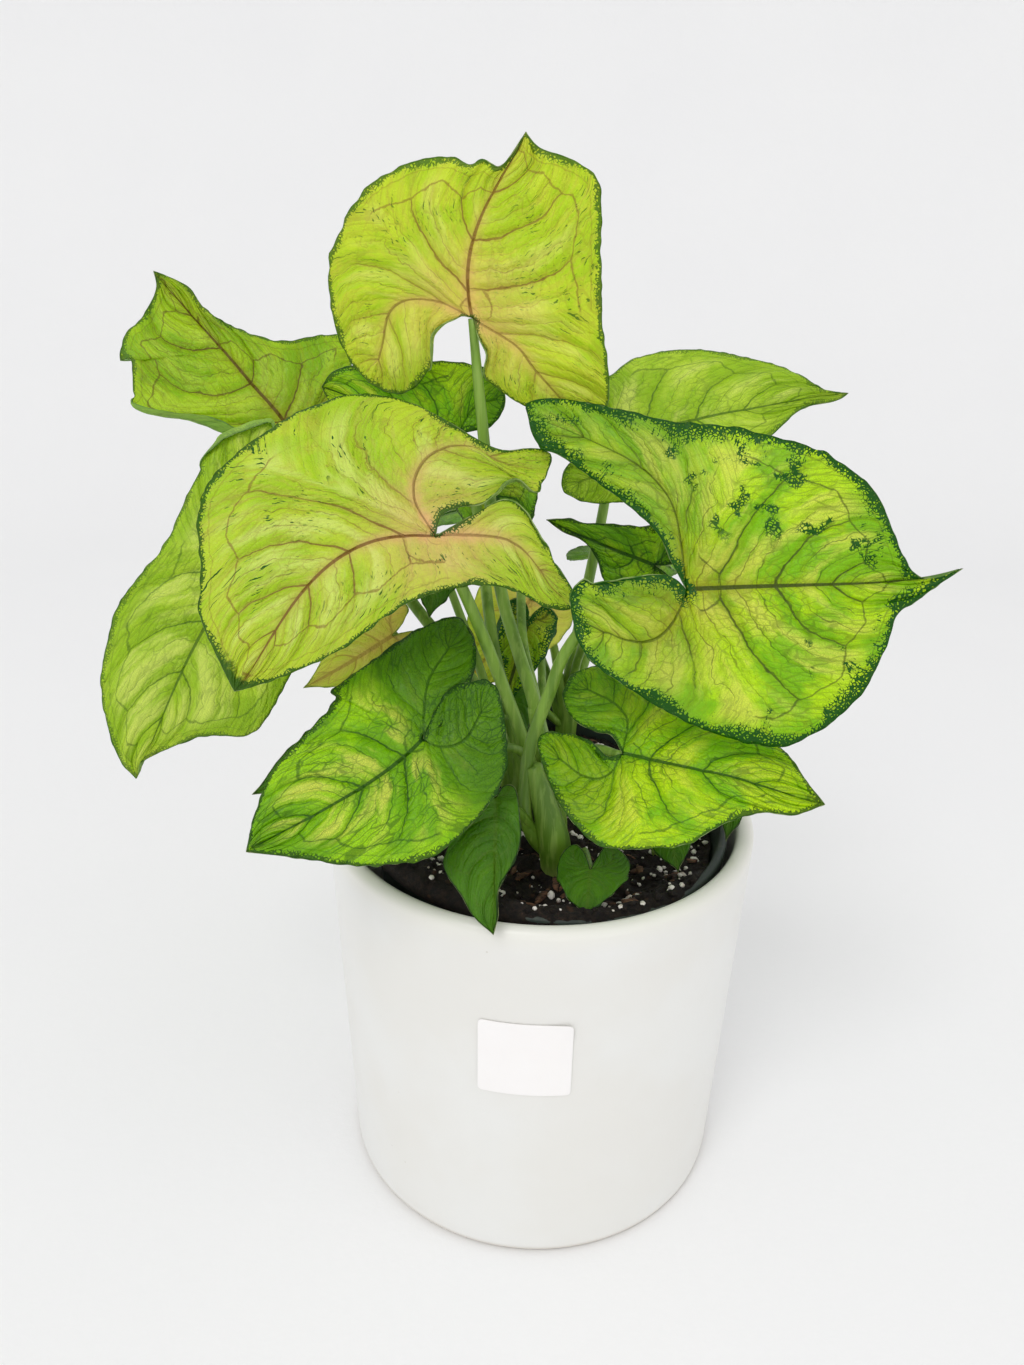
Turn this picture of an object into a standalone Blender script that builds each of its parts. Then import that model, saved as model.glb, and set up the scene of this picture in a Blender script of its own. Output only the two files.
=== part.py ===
"""Arrowhead plant (Syngonium podophyllum) in a nursery pot, which stands in a white outer pot.

The sizes below are millimetres, and mm() turns them into metres. The origin is the centre of the outer
pot's base, +Z is up, and the paper label is on the -Y side.
"""

import math
import random
from dataclasses import dataclass, field

import bmesh
import bpy
import numpy as np
from mathutils import Matrix, Vector

# Outer pot
POT_HEIGHT = 112.0
POT_RIM_R = 60.0
POT_BASE_R = 56.0
POT_LIP_R = 2.45
POT_WALL_FOOT_R = 51.5
POT_FLOOR = 6.3
POT_CORNER_R = 2.2
POT_STEPS = 40

# Nursery pot, in its own frame
NURSERY_HEIGHT = 106.0
NURSERY_RIM_R = 50.0
NURSERY_BASE_R = 37.0
NURSERY_WALL = 1.3
NURSERY_RIM_BAND = 8.0
NURSERY_RIM_WIDTH = 2.4
NURSERY_TILT = 8.0
NURSERY_LEAN = -55.0
NURSERY_RIM_OFFSET = 4.6
NURSERY_RIM_Z = 116.7
DRAIN_HOLES = 8
DRAIN_R = 4.0
DRAIN_RING_R = 24.0
DRAIN_TURN = 2.0

# Soil
GAP = 0.3
SOIL_BELOW_RIM = 7.0
SOIL_RINGS = 5
SOIL_STEPS = 28
HOLE_DEPTH = 12.0
GRAINS = 32
GRAIN_SIZES = (0.9, 1.7)

# Label
LABEL_WIDTH = 24.0
LABEL_HEIGHT = 23.5
LABEL_MIDDLE_Z = 72.2
LABEL_OFFSET = -2.0
LABEL_THICKNESS = 0.5
LABEL_LIFT = 1.2

# Blades and stalks
BLADE_THICKNESS = 0.8
LARGE_BLADE = 40.0
LARGE_GRID = (7, 3, 3)
SMALL_GRID = (4, 2, 2)
VEIN_SLANT = 0.55
VEIN_BEND = 0.10
VEIN_STEPS = 24
VEIN_BALANCE = 0.45
VEIN_SHORT = 8
VEIN_FAN = 0.75
STALK_TIP_R = 1.0
STALK_BELOW_BLADE = 2.0


@dataclass
class Leaf:
    """One blade. Its outlines are (along, across) points from beside the tip round to the sinus."""

    at: tuple
    tip: tuple
    face: tuple
    left: list
    right: list
    apex: tuple = None
    arch: float = 2.0
    bow: float = 0.0
    fold: tuple = (0.0, 0.0)
    droop: tuple = (2.0, 2.0)
    lobe_lift: tuple = (0.0, 0.0)
    curl: tuple = (0.0, 0.0)
    tip_lift: float = 0.0
    ripple: float = 0.5
    waves: float = 3.0
    phase: float = 0.0


@dataclass
class Stalk:
    """One leaf stalk: the leaf that it carries, its thickness, and the points that it bends through."""

    leaf: str
    through: list
    foot_r: float = 1.9
    neck_r: float = 1.3


@dataclass
class Stem:
    """A short stem in the soil, as points with radii, and the stalks that grow from it."""

    core: list
    radii: list
    stalks: list = field(default_factory=list)


def arrowhead(length, width, reach):
    """Half an arrowhead outline: its length, its half width, and how far the lobe reaches back."""
    return [
        (0.86 * length, 0.16 * width),
        (0.58 * length, 0.60 * width),
        (0.25 * length, 0.93 * width),
        (-0.15 * reach, 1.00 * width),
        (-0.75 * reach, 0.80 * width),
        (-1.00 * reach, 0.42 * width),
        (-0.65 * reach, 0.16 * width),
    ]


def mirrored(points):
    return [(along, -across) for along, across in points]


def even_leaf(at, tip, face, width, reach, **bends):
    """A leaf with two like halves."""
    half = arrowhead(math.dist(at, tip), width, reach)
    return Leaf(at, tip, face, half, mirrored(half), **bends)


LEAVES = {
    "leaf_top": Leaf(
        at=(-20, -2, 244), tip=(-8, -6, 283), face=(-0.15, -0.99, -0.06),
        left=[(33, 3), (33, 7), (31, 10), (31, 15), (27, 23), (18, 32), (7, 36), (-1, 37),
              (-15, 32), (-23, 24), (-25, 17), (-23, 11), (-16, 7), (-6, 8), (-1, 4)],
        right=[(39, -4), (39, -12), (37, -18), (29, -22), (10, -29), (-9, -37), (-15, -28),
               (-16, -18), (-13, -8), (-6, -6), (-3, -3)],
        arch=1.5, bow=4.5, droop=(2.5, 2.5), lobe_lift=(-2.0, -2.0), ripple=0.7,
    ),
    "leaf_upper_left": Leaf(
        at=(-67, 16, 211), tip=(-107, 32, 251), face=(0.28, -0.76, 0.59),
        left=[(54, 3), (49, 12), (48, 17), (43, 23), (41, 21), (29, 28), (18, 19), (8, 13), (-4, 9),
              (-3, 3)],
        right=[(50, -4), (41, -4), (24, -12), (17, -26), (12, -28), (5, -21), (1, -12), (-2, -5)],
        arch=1.0, fold=(0.0, 4.0), droop=(2.0, 0.0), curl=(-2.5, 0.0), ripple=1.2, waves=3.5,
    ),
    "leaf_mid_left": Leaf(
        at=(-26, -30, 199), tip=(-67, -58, 171), face=(0.24, -0.84, 0.48),
        left=[(50, 3), (35, 7), (17, 8), (4, 12), (-1, 15), (-7, 21), (-11, 29), (-16, 33),
              (-19, 29), (-19, 17), (-20, 8), (-17, 3), (-7, 1)],
        right=[(55, -9), (52, -18), (46, -25), (39, -35), (30, -40), (14, -41), (-1, -40),
               (-8, -37), (-17, -28), (-25, -9), (-33, -3), (-36, 1), (-31, 5), (-26, 5), (-24, 0),
               (-14, 0), (-5, -3)],
        arch=3.0, bow=-9.0, droop=(3.0, 4.0), lobe_lift=(1.0, -1.0), ripple=0.5,
    ),
    "leaf_far_left": Leaf(
        at=(-73, -6, 188), tip=(-108, -20, 127), face=(0.17, -0.98, 0.12),
        left=[(67, -1), (55, 7), (50, 14), (48, 19), (42, 22), (26, 22), (10, 22), (-5, 18),
              (-14, 12), (-8, 3)],
        right=[(67, -8), (52, -19), (38, -23), (28, -24), (11, -21), (-3, -22), (-18, -21),
               (-27, -14), (-26, -11), (-19, -6), (-9, -3)],
        arch=2.5, bow=-3.0, droop=(2.0, 3.0), lobe_lift=(-2.0, -3.0), ripple=0.6,
    ),
    "leaf_front_left": Leaf(
        at=(-28, -44, 154), tip=(-64, -70, 138), face=(0.15, -0.67, 0.73),
        left=[(40, 7), (29, 17), (16, 24), (3, 23), (-9, 19), (-16, 12), (-22, 1), (-22, -3),
              (-20, -5), (-13, -7), (-6, -4)],
        right=[(41, -6), (32, -12), (13, -18), (11, -21), (-2, -23), (-16, -25), (-26, -24),
               (-28, -21), (-25, -14), (-17, -10), (-7, -7)],
        arch=2.5, bow=2.5, fold=(1.0, 2.0), droop=(2.5, 1.5), lobe_lift=(2.0, -1.5), ripple=0.4,
    ),
    "leaf_right": Leaf(
        at=(31, -36, 190), tip=(83, -42, 195), face=(-0.14, -0.91, 0.39), apex=(59, 3),
        left=[(53, 2), (50, 4), (47, 8), (42, 18), (37, 24), (28, 30), (10, 36), (-1, 38),
              (-15, 42), (-29, 46), (-36, 46), (-37, 44), (-34, 35), (-27, 31), (-8, 15), (-3, 6)],
        right=[(53, -1), (49, -4), (45, -7), (42, -16), (35, -27), (23, -35), (15, -35), (2, -31),
               (-15, -21), (-24, -13), (-26, -3), (-23, 2), (-20, 1), (-13, 2), (-4, 3)],
        arch=2.5, fold=(1.5, 1.5), droop=(4.0, 4.0), lobe_lift=(-2.0, 0.0), tip_lift=1.0, ripple=0.6,
    ),
    "leaf_right_low": Leaf(
        at=(19, -38, 149), tip=(64, -54, 146), face=(-0.13, -0.51, 0.85),
        left=[(43, 4), (38, 9), (30, 15), (18, 22), (4, 25), (-9, 25), (-17, 22), (-20, 17),
              (-19, 11), (-14, 6), (-8, 4), (-4, 4)],
        right=[(42, -5), (35, -7), (28, -12), (20, -20), (5, -24), (-1, -23), (-10, -17), (-19, -6),
               (-21, 0), (-14, 2), (-8, 1), (-3, -2)],
        arch=1.5, fold=(1.0, 1.0), droop=(2.0, 2.5), ripple=0.5,
    ),
    "leaf_back_right": Leaf(
        at=(17, 28, 211), tip=(78, 42, 222), face=(0.09, -0.83, 0.55), apex=(68, 0),
        left=[(60, 2), (51, 10), (42, 15), (30, 20), (13, 22), (3, 19), (-10, 18), (-18, 12),
              (-16, 5), (-6, 2)],
        right=[(63, -2), (52, -3), (43, -8), (36, -12), (24, -15), (8, -17), (-8, -16), (-17, -11),
               (-14, -4), (-5, -2)],
        arch=3.0, droop=(3.0, 3.0), ripple=0.6,
    ),
    "leaf_back_mid": Leaf(
        at=(-24, 9, 215), tip=(-60, 14, 225), face=(-0.12, -0.99, -0.02),
        left=[(32, 5), (18, 11), (4, 14), (-8, 12), (-15, 7), (-14, 2), (-6, 1)],
        right=[(34, -6), (20, -12), (8, -16), (-3, -17), (-9, -12), (-8, -5), (-4, -2)],
        arch=1.0, droop=(2.0, 1.5), ripple=0.5,
    ),
    "leaf_inner": even_leaf(
        at=(-13, 20, 200), tip=(-4, 13, 180), face=(-0.01, -0.94, 0.33), width=9, reach=6,
    ),
    "leaf_behind_right": Leaf(
        at=(27, -6, 186), tip=(-1, 2, 195), face=(-0.30, -0.95, -0.09),
        left=[(25, 1), (20, 1), (15, 4), (10, 10), (0, 11), (-6, 6), (-5, 2)],
        right=[(25, -3), (20, -4), (5, -9), (-3, -9), (-6, -5), (-4, -2)],
        arch=1.0, droop=(1.0, 1.0),
    ),
    "leaf_pale": even_leaf(
        at=(-5, 28, 164), tip=(-26, 10, 139), face=(0.15, -0.86, 0.49), width=14, reach=10,
    ),
    "leaf_mottled": even_leaf(
        at=(-5, 14, 163), tip=(-12, 6, 138), face=(0.0, -0.95, 0.30), width=8, reach=5,
    ),
    "leaf_blush": even_leaf(
        at=(-39, -14, 168), tip=(-61, -22, 156), face=(0.23, -0.95, 0.21), width=10, reach=7,
    ),
    "leaf_dark": even_leaf(
        at=(-28, -6, 186), tip=(-30, -12, 172), face=(0.12, -0.92, 0.38), width=7, reach=5,
        ripple=0.3,
    ),
    "leaf_low_middle": even_leaf(
        at=(-10, 22, 136), tip=(-7, 16, 118), face=(0.05, -0.95, 0.32), width=6, reach=4,
        ripple=0.3,
    ),
    "leaf_low_left": even_leaf(
        at=(-52, -30, 142), tip=(-71, -40, 135), face=(0.25, -0.84, 0.48), width=8, reach=6,
        ripple=0.3,
    ),
    "leaf_soil_left": Leaf(
        at=(-11, -40, 137), tip=(-10, -64, 114), face=(0.12, -0.67, 0.73),
        left=[(29, 1), (23, 1), (17, 4), (12, 6), (7, 6), (-2, 5), (-3, 2)],
        right=[(29, -5), (24, -8), (20, -11), (16, -12), (5, -9), (-1, -6), (-3, -2)],
        arch=1.0, droop=(0.5, 1.0), ripple=0.3,
    ),
    "leaf_heart": Leaf(
        at=(13, -38, 116), tip=(12, -49, 110), face=(0.0, -0.45, 0.89),
        left=[(9, 4), (4, 8), (-2, 10), (-6, 8), (-8, 4), (-5, 2)],
        right=[(9, -5), (3, -8), (-3, -8), (-7, -5), (-5, -2)],
        arch=0.8, droop=(1.0, 1.0), ripple=0.2,
    ),
    "leaf_soil_right": even_leaf(
        at=(34, -24, 119), tip=(36, -32, 112), face=(-0.17, -0.69, 0.71), width=6, reach=4,
        arch=0.8, droop=(1.0, 1.0), ripple=0.2,
    ),
    "leaf_rim_right": even_leaf(
        at=(53, -10, 125), tip=(50, -18, 113), face=(-0.16, -0.81, 0.56), width=4.5, reach=3,
        arch=0.8, droop=(0.5, 0.5), ripple=0.1,
    ),
    "leaf_rear_left": even_leaf(
        at=(-26, 42, 186), tip=(-48, 74, 166), face=(-0.25, 0.45, 0.86), width=21, reach=16,
        arch=4.0, droop=(4.0, 4.0),
    ),
    "leaf_rear_right": even_leaf(
        at=(24, 52, 172), tip=(40, 84, 150), face=(0.20, 0.50, 0.84), width=18, reach=14,
        arch=4.0, droop=(4.0, 4.0),
    ),
}

STEMS = {
    "stem_front": Stem(
        core=[(4, -22, 96), (4, -22, 108), (3, -18, 121), (1, -14, 134)],
        radii=[3.4, 3.7, 3.2, 1.6],
        stalks=[
            Stalk("leaf_mid_left", [(4, -21, 112), (-5, -17, 140), (-13, -20, 164), (-20, -25, 184)]),
            Stalk("leaf_top", [(4, -21, 112), (-2, -12, 147), (-7, -9, 162), (-12, -6, 178),
                               (-16, 0, 206), (-18, 1, 223)]),
            Stalk("leaf_right", [(4, -22, 108), (-3, -26, 120), (-4, -25, 134), (-3, -25, 144),
                                 (1, -26, 158), (5, -28, 171), (12, -31, 181)]),
            Stalk("leaf_right_low", [(4, -22, 112), (5, -20, 132), (12, -26, 143)]),
            Stalk("leaf_front_left", [(3, -20, 118), (-5, -19, 138), (-16, -30, 144)], 1.4, 1.1),
            Stalk("leaf_soil_left", [(4, -23, 108), (-4, -28, 124)], 1.4, 1.0),
        ],
    ),
    "stem_left": Stem(
        core=[(-6, -6, 98), (-6, -6, 111), (-7, -5, 126)],
        radii=[3.2, 3.4, 1.8],
        stalks=[
            Stalk("leaf_back_mid", [(-6, -6, 112), (-9, -3, 140), (-14, 3, 158), (-20, 16, 194)]),
            Stalk("leaf_upper_left", [(-6, -6, 112), (-13, -8, 142), (-24, -9, 161), (-35, -2, 172),
                                      (-51, 10, 190)]),
            Stalk("leaf_far_left", [(-6, -6, 112), (-16, -9, 137), (-30, -10, 151), (-44, -5, 165),
                                    (-58, 1, 177)]),
            Stalk("leaf_inner", [(-6, -6, 112), (-2, -5, 144), (-6, 1, 160), (-9, 18, 181)], 1.5, 1.1),
            Stalk("leaf_mottled", [(-6, -6, 112), (-2, 4, 134), (-1, 13, 148), (-3, 17, 157)],
                  1.4, 1.0),
            Stalk("leaf_dark", [(-6, -6, 112), (-16, -3, 150), (-24, -1, 172)], 1.4, 1.0),
            Stalk("leaf_blush", [(-6, -6, 112), (-18, -3, 138), (-32, -8, 157)], 1.4, 1.0),
            Stalk("leaf_low_left", [(-6, -6, 112), (-24, -14, 128), (-42, -24, 137)], 1.4, 1.0),
        ],
    ),
    "stem_back": Stem(
        core=[(7, 38, 102), (7, 38, 116), (8, 38, 132)],
        radii=[3.0, 3.2, 1.8],
        stalks=[
            Stalk("leaf_back_right", [(7, 38, 118), (9, 41, 144), (12, 36, 168), (15, 33, 190)]),
            Stalk("leaf_behind_right", [(7, 38, 118), (10, 34, 144), (18, 18, 168)], 1.5, 1.1),
            Stalk("leaf_pale", [(7, 38, 118), (4, 36, 138), (0, 31, 155)], 1.5, 1.1),
            Stalk("leaf_low_middle", [(7, 38, 118), (-4, 31, 130)], 1.4, 1.0),
            Stalk("leaf_rear_left", [(7, 38, 118), (-4, 42, 145), (-17, 42, 170)]),
            Stalk("leaf_rear_right", [(7, 38, 118), (13, 44, 142), (20, 50, 160)]),
        ],
    ),
    "stem_heart": Stem(
        core=[(12, -20, 98), (12, -20, 109)], radii=[1.5, 1.2],
        stalks=[Stalk("leaf_heart", [(12, -20, 108), (12, -27, 114)], 1.0, 0.9)],
    ),
    "stem_soil_right": Stem(
        core=[(32, -14, 96), (32, -14, 108)], radii=[1.5, 1.2],
        stalks=[Stalk("leaf_soil_right", [(32, -14, 107), (33, -18, 114)], 1.0, 0.9)],
    ),
    "stem_rim_right": Stem(
        core=[(42, -4, 95), (42, -4, 108)], radii=[1.5, 1.2],
        stalks=[Stalk("leaf_rim_right", [(42, -4, 107), (47, -5, 117)], 1.0, 0.9)],
    ),
}

COLOURS = {
    "cachepot": ((0.84, 0.84, 0.80), 0.32),
    "label": ((0.90, 0.90, 0.88), 0.60),
    "nursery_pot": ((0.035, 0.060, 0.048), 0.45),
    "soil": ((0.022, 0.013, 0.008), 0.95),
    "stem": ((0.16, 0.34, 0.07), 0.45),
    "lime": ((0.42, 0.66, 0.05), 0.40),
    "green": ((0.13, 0.40, 0.015), 0.40),
    "dark_green": ((0.03, 0.14, 0.01), 0.42),
    "pale": ((0.55, 0.62, 0.22), 0.45),
}
LEAF_COLOURS = {
    "lime": ["top", "upper_left", "mid_left", "right"],
    "green": ["far_left", "front_left", "right_low", "back_right", "back_mid", "mottled", "heart",
              "rim_right", "rear_left", "rear_right"],
    "dark_green": ["inner", "behind_right", "dark", "low_middle", "low_left", "soil_left",
                   "soil_right"],
    "pale": ["pale", "blush"],
}


def mm(*values):
    """Millimetres to metres."""
    return Vector(values) * 0.001


def clear_scene():
    for item in list(bpy.data.objects):
        bpy.data.objects.remove(item, do_unlink=True)


def new_collection(name):
    made = bpy.data.collections.new(name)
    bpy.context.scene.collection.children.link(made)
    return made


def make_material(name):
    colour, roughness = COLOURS[name]
    made = bpy.data.materials.new(name)
    made.use_nodes = True
    shader = made.node_tree.nodes["Principled BSDF"]
    shader.inputs["Base Color"].default_value = (*colour, 1.0)
    shader.inputs["Roughness"].default_value = roughness
    made.diffuse_color = (*colour, 1.0)
    return made


def add_object(name, data, collection, material=None):
    made = bpy.data.objects.new(name, data)
    collection.objects.link(made)
    if material:
        data.materials.append(material)
    return made


def evaluated_mesh(source):
    """The object's mesh in world space with its modifiers applied and the caps of curves welded."""
    bpy.context.view_layer.update()
    graph = bpy.context.evaluated_depsgraph_get()
    mesh = bpy.data.meshes.new_from_object(source.evaluated_get(graph))
    mesh.transform(source.matrix_world)
    work = bmesh.new()
    work.from_mesh(mesh)
    bmesh.ops.remove_doubles(work, verts=work.verts, dist=0.00001)
    work.to_mesh(mesh)
    work.free()
    return mesh


def shade(mesh, angle=40.0):
    mesh.shade_smooth()
    mesh.set_sharp_from_angle(angle=math.radians(angle))


def arc(across, up, radius, start, end, steps):
    """Points along an arc in the profile plane, as (distance from the axis, height)."""
    angles = [math.radians(start + (end - start) * i / steps) for i in range(steps + 1)]
    return [(across + radius * math.cos(a), up + radius * math.sin(a)) for a in angles]


def turned(name, profile, steps, collection, material):
    """A profile that starts and ends on the axis, turned round it with a Screw modifier."""
    mesh = bpy.data.meshes.new(name)
    points = [mm(across, 0, up) for across, up in profile]
    mesh.from_pydata(points, [(i, i + 1) for i in range(len(points) - 1)], [])
    made = add_object(name, mesh, collection, material)
    screw = made.modifiers.new("Turn", "SCREW")
    screw.steps = steps
    screw.render_steps = steps
    screw.use_merge_vertices = True
    screw.merge_threshold = 0.0001
    screw.use_smooth_shade = True
    return made


def make_cachepot(collection, material):
    lip_across = POT_RIM_R - POT_LIP_R
    lip_up = POT_HEIGHT - POT_LIP_R
    corner = POT_BASE_R - POT_CORNER_R
    inner = POT_WALL_FOOT_R - 2 * POT_CORNER_R
    profile = [(0, POT_FLOOR)]
    profile += arc(inner, POT_FLOOR + 2 * POT_CORNER_R, 2 * POT_CORNER_R, -90, 0, 3)
    profile += arc(lip_across, lip_up, POT_LIP_R, 180, 0, 6)
    profile += arc(corner, POT_CORNER_R, POT_CORNER_R, 0, -90, 3)
    profile += [(0, 0)]
    return turned("cachepot", profile, POT_STEPS, collection, material)


def pot_radius(height):
    """The outer pot's outer radius at a height on its wall."""
    share = (height - POT_CORNER_R) / (POT_HEIGHT - POT_LIP_R - POT_CORNER_R)
    return POT_BASE_R + share * (POT_RIM_R - POT_BASE_R)


def nursery_frame():
    """Places the nursery pot: it leans on the outer pot's wall and stands on the edge of its base."""
    lean = math.radians(NURSERY_LEAN)
    tilt = math.radians(NURSERY_TILT)
    towards = Vector((math.cos(lean), math.sin(lean), 0))
    axis = towards * math.sin(tilt) + Vector((0, 0, math.cos(tilt)))
    rim = towards * NURSERY_RIM_OFFSET + Vector((0, 0, NURSERY_RIM_Z))
    foot = (rim - axis * NURSERY_HEIGHT) * 0.001
    turn = Matrix.Rotation(tilt, 4, Vector((0, 0, 1)).cross(towards))
    return Matrix.Translation(foot) @ turn


def wall_inside(height):
    """The nursery pot's inner radius at a height in its own frame."""
    share = height / NURSERY_HEIGHT
    rim = NURSERY_RIM_R - NURSERY_RIM_WIDTH
    foot = NURSERY_BASE_R - NURSERY_WALL
    return foot + share * (rim - foot)


def cut(target, cutters):
    """Takes the cutters out of the target. They stay as guides, and the build leaves them out."""
    for cutter in cutters:
        cutter.hide_render = True
        cutter.display_type = "WIRE"
        hole = target.modifiers.new("Cut", "BOOLEAN")
        hole.operation = "DIFFERENCE"
        hole.object = cutter


def round_cutter(name, radius, length, place, collection, parent=None):
    mesh = bpy.data.meshes.new(name)
    work = bmesh.new()
    bmesh.ops.create_cone(
        work, cap_ends=True, segments=12, radius1=radius * 0.001, radius2=radius * 0.001,
        depth=length * 0.001,
    )
    work.to_mesh(mesh)
    work.free()
    made = add_object(name, mesh, collection)
    made.location = mm(*place)
    made.parent = parent
    return made


def make_nursery_pot(collection, cutters, material, frame):
    rim_top = NURSERY_HEIGHT
    band_foot = rim_top - NURSERY_RIM_BAND
    profile = [
        (0, NURSERY_WALL),
        (wall_inside(NURSERY_WALL), NURSERY_WALL),
        (wall_inside(rim_top), rim_top - 1.0),
        (NURSERY_RIM_R - NURSERY_RIM_WIDTH + 0.7, rim_top),
        (NURSERY_RIM_R - 0.7, rim_top),
        (NURSERY_RIM_R, rim_top - 1.0),
        (NURSERY_RIM_R, band_foot),
        (wall_inside(band_foot) + NURSERY_WALL, band_foot - 0.6),
        (NURSERY_BASE_R + 0.2, 1.0),
        (NURSERY_BASE_R - 0.8, 0),
        (0, 0),
    ]
    pot = turned("nursery_pot", profile, POT_STEPS, collection, material)
    pot.parent = frame
    holes = []
    for i in range(DRAIN_HOLES):
        angle = math.radians(DRAIN_TURN) + 2 * math.pi * i / DRAIN_HOLES
        place = (DRAIN_RING_R * math.cos(angle), DRAIN_RING_R * math.sin(angle), 0)
        holes.append(round_cutter(f"drain_{i + 1}", DRAIN_R, 6, place, cutters, frame))
    cut(pot, holes)
    return pot


def soil_relief(across, deep):
    """How far the soil's surface stands above its level, from a few crossing waves."""
    rolling = 0.7 * math.sin(0.13 * across + 1.0) * math.cos(0.11 * deep)
    lumps = 0.6 * math.sin(0.37 * across + 0.29 * deep) * math.cos(0.41 * deep - 0.5)
    return rolling + lumps


def add_grains(collection):
    """Perlite grains half sunk in the soil's surface, scattered with a fixed seed."""
    draw = random.Random(4)
    top = NURSERY_HEIGHT - SOIL_BELOW_RIM
    reach = wall_inside(top) - 5.0
    for i in range(GRAINS):
        distance = reach * math.sqrt(draw.random())
        angle = draw.uniform(0, 2 * math.pi)
        across, deep = distance * math.cos(angle), distance * math.sin(angle)
        size = draw.uniform(*GRAIN_SIZES)
        place = Matrix.Translation(mm(across, deep, top + soil_relief(across, deep)))
        turn = Matrix.Rotation(draw.uniform(0, 3), 4, (0.6, 0.0, 0.8))
        mesh = bpy.data.meshes.new(f"grain_{i + 1}")
        work = bmesh.new()
        bmesh.ops.create_icosphere(work, subdivisions=1, radius=size * 0.001, matrix=place @ turn)
        work.to_mesh(mesh)
        work.free()
        add_object(mesh.name, mesh, collection)


def join_collection(target, pieces):
    """Joins a collection's closed bodies to the target by one Boolean union, and removes them."""
    union = target.modifiers.new("Join", "BOOLEAN")
    union.operation = "UNION"
    union.operand_type = "COLLECTION"
    union.collection = pieces
    mesh = evaluated_mesh(target)
    for item in list(pieces.objects):
        bpy.data.objects.remove(item, do_unlink=True)
    bpy.data.collections.remove(pieces)
    return mesh


def make_soil(collection, cutters, material, frame):
    top = NURSERY_HEIGHT - SOIL_BELOW_RIM
    foot = NURSERY_WALL + GAP
    edge = wall_inside(top) - 2 * GAP
    profile = [(edge * i / SOIL_RINGS, top) for i in range(SOIL_RINGS + 1)]
    profile += [(wall_inside(foot) - 2 * GAP, foot), (0, foot)]
    blank = turned("soil_blank", profile, SOIL_STEPS, collection, material)
    shaped = add_object("soil_shaped", evaluated_mesh(blank), collection)
    bpy.data.objects.remove(blank, do_unlink=True)
    for vertex in shaped.data.vertices:
        if vertex.co.z > (top - 1) * 0.001:
            vertex.co.z += soil_relief(vertex.co.x * 1000, vertex.co.y * 1000) * 0.001
    grains = new_collection("grains")
    add_grains(grains)
    soil = add_object("soil", join_collection(shaped, grains), collection)
    bpy.data.objects.remove(shaped, do_unlink=True)
    soil.parent = frame
    holes = []
    for name, stem in STEMS.items():
        foot_point, radius = stem.core[0], max(stem.radii) + 0.5
        deep = (foot_point[0], foot_point[1], foot_point[2] + HOLE_DEPTH)
        holes.append(round_cutter(f"hole_{name}", radius, 2 * HOLE_DEPTH + 1.0, deep, cutters))
    cut(soil, holes)
    return soil


def make_label(collection, material):
    """A square of paper that follows the pot's front, with one corner a little lifted."""
    mesh = bpy.data.meshes.new("label")
    work = bmesh.new()
    bmesh.ops.create_grid(work, x_segments=6, y_segments=3, size=1)
    for vertex in work.verts:
        right, up = vertex.co.x, vertex.co.y
        height = LABEL_MIDDLE_Z + up * LABEL_HEIGHT / 2
        lift = LABEL_LIFT * max(0.0, right + up - 1.2) ** 2
        radius = pot_radius(height) + GAP + LABEL_THICKNESS / 2 + lift
        angle = -math.pi / 2 + (LABEL_OFFSET + right * LABEL_WIDTH / 2) / radius
        vertex.co = mm(radius * math.cos(angle), radius * math.sin(angle), height)
    bmesh.ops.triangulate(work, faces=work.faces)
    work.to_mesh(mesh)
    work.free()
    label = add_object("label", mesh, collection, material)
    sheet = label.modifiers.new("Thickness", "SOLIDIFY")
    sheet.thickness = LABEL_THICKNESS * 0.001
    sheet.offset = 0
    return label


def smooth_path(points, steps=8):
    """A Catmull-Rom curve through the points, as a dense polyline."""
    knots = np.array([points[0], *points, points[-1]], float)
    out = []
    for a, b, c, d in zip(knots, knots[1:], knots[2:], knots[3:]):
        for t in np.arange(steps) / steps:
            cubic = (3 * b - 3 * c + d - a) * t**3 + (2 * a - 5 * b + 4 * c - d) * t**2
            out.append(0.5 * (cubic + (c - a) * t + 2 * b))
    out.append(knots[-1])
    return np.array(out)


def spread(path, count):
    """Count + 1 points at even distances along a polyline."""
    runs = np.r_[0, np.cumsum(np.linalg.norm(np.diff(path, axis=0), axis=1))]
    marks = np.linspace(0, runs[-1], count + 1)
    return np.stack([np.interp(marks, runs, path[:, k]) for k in range(2)], axis=1)


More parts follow.
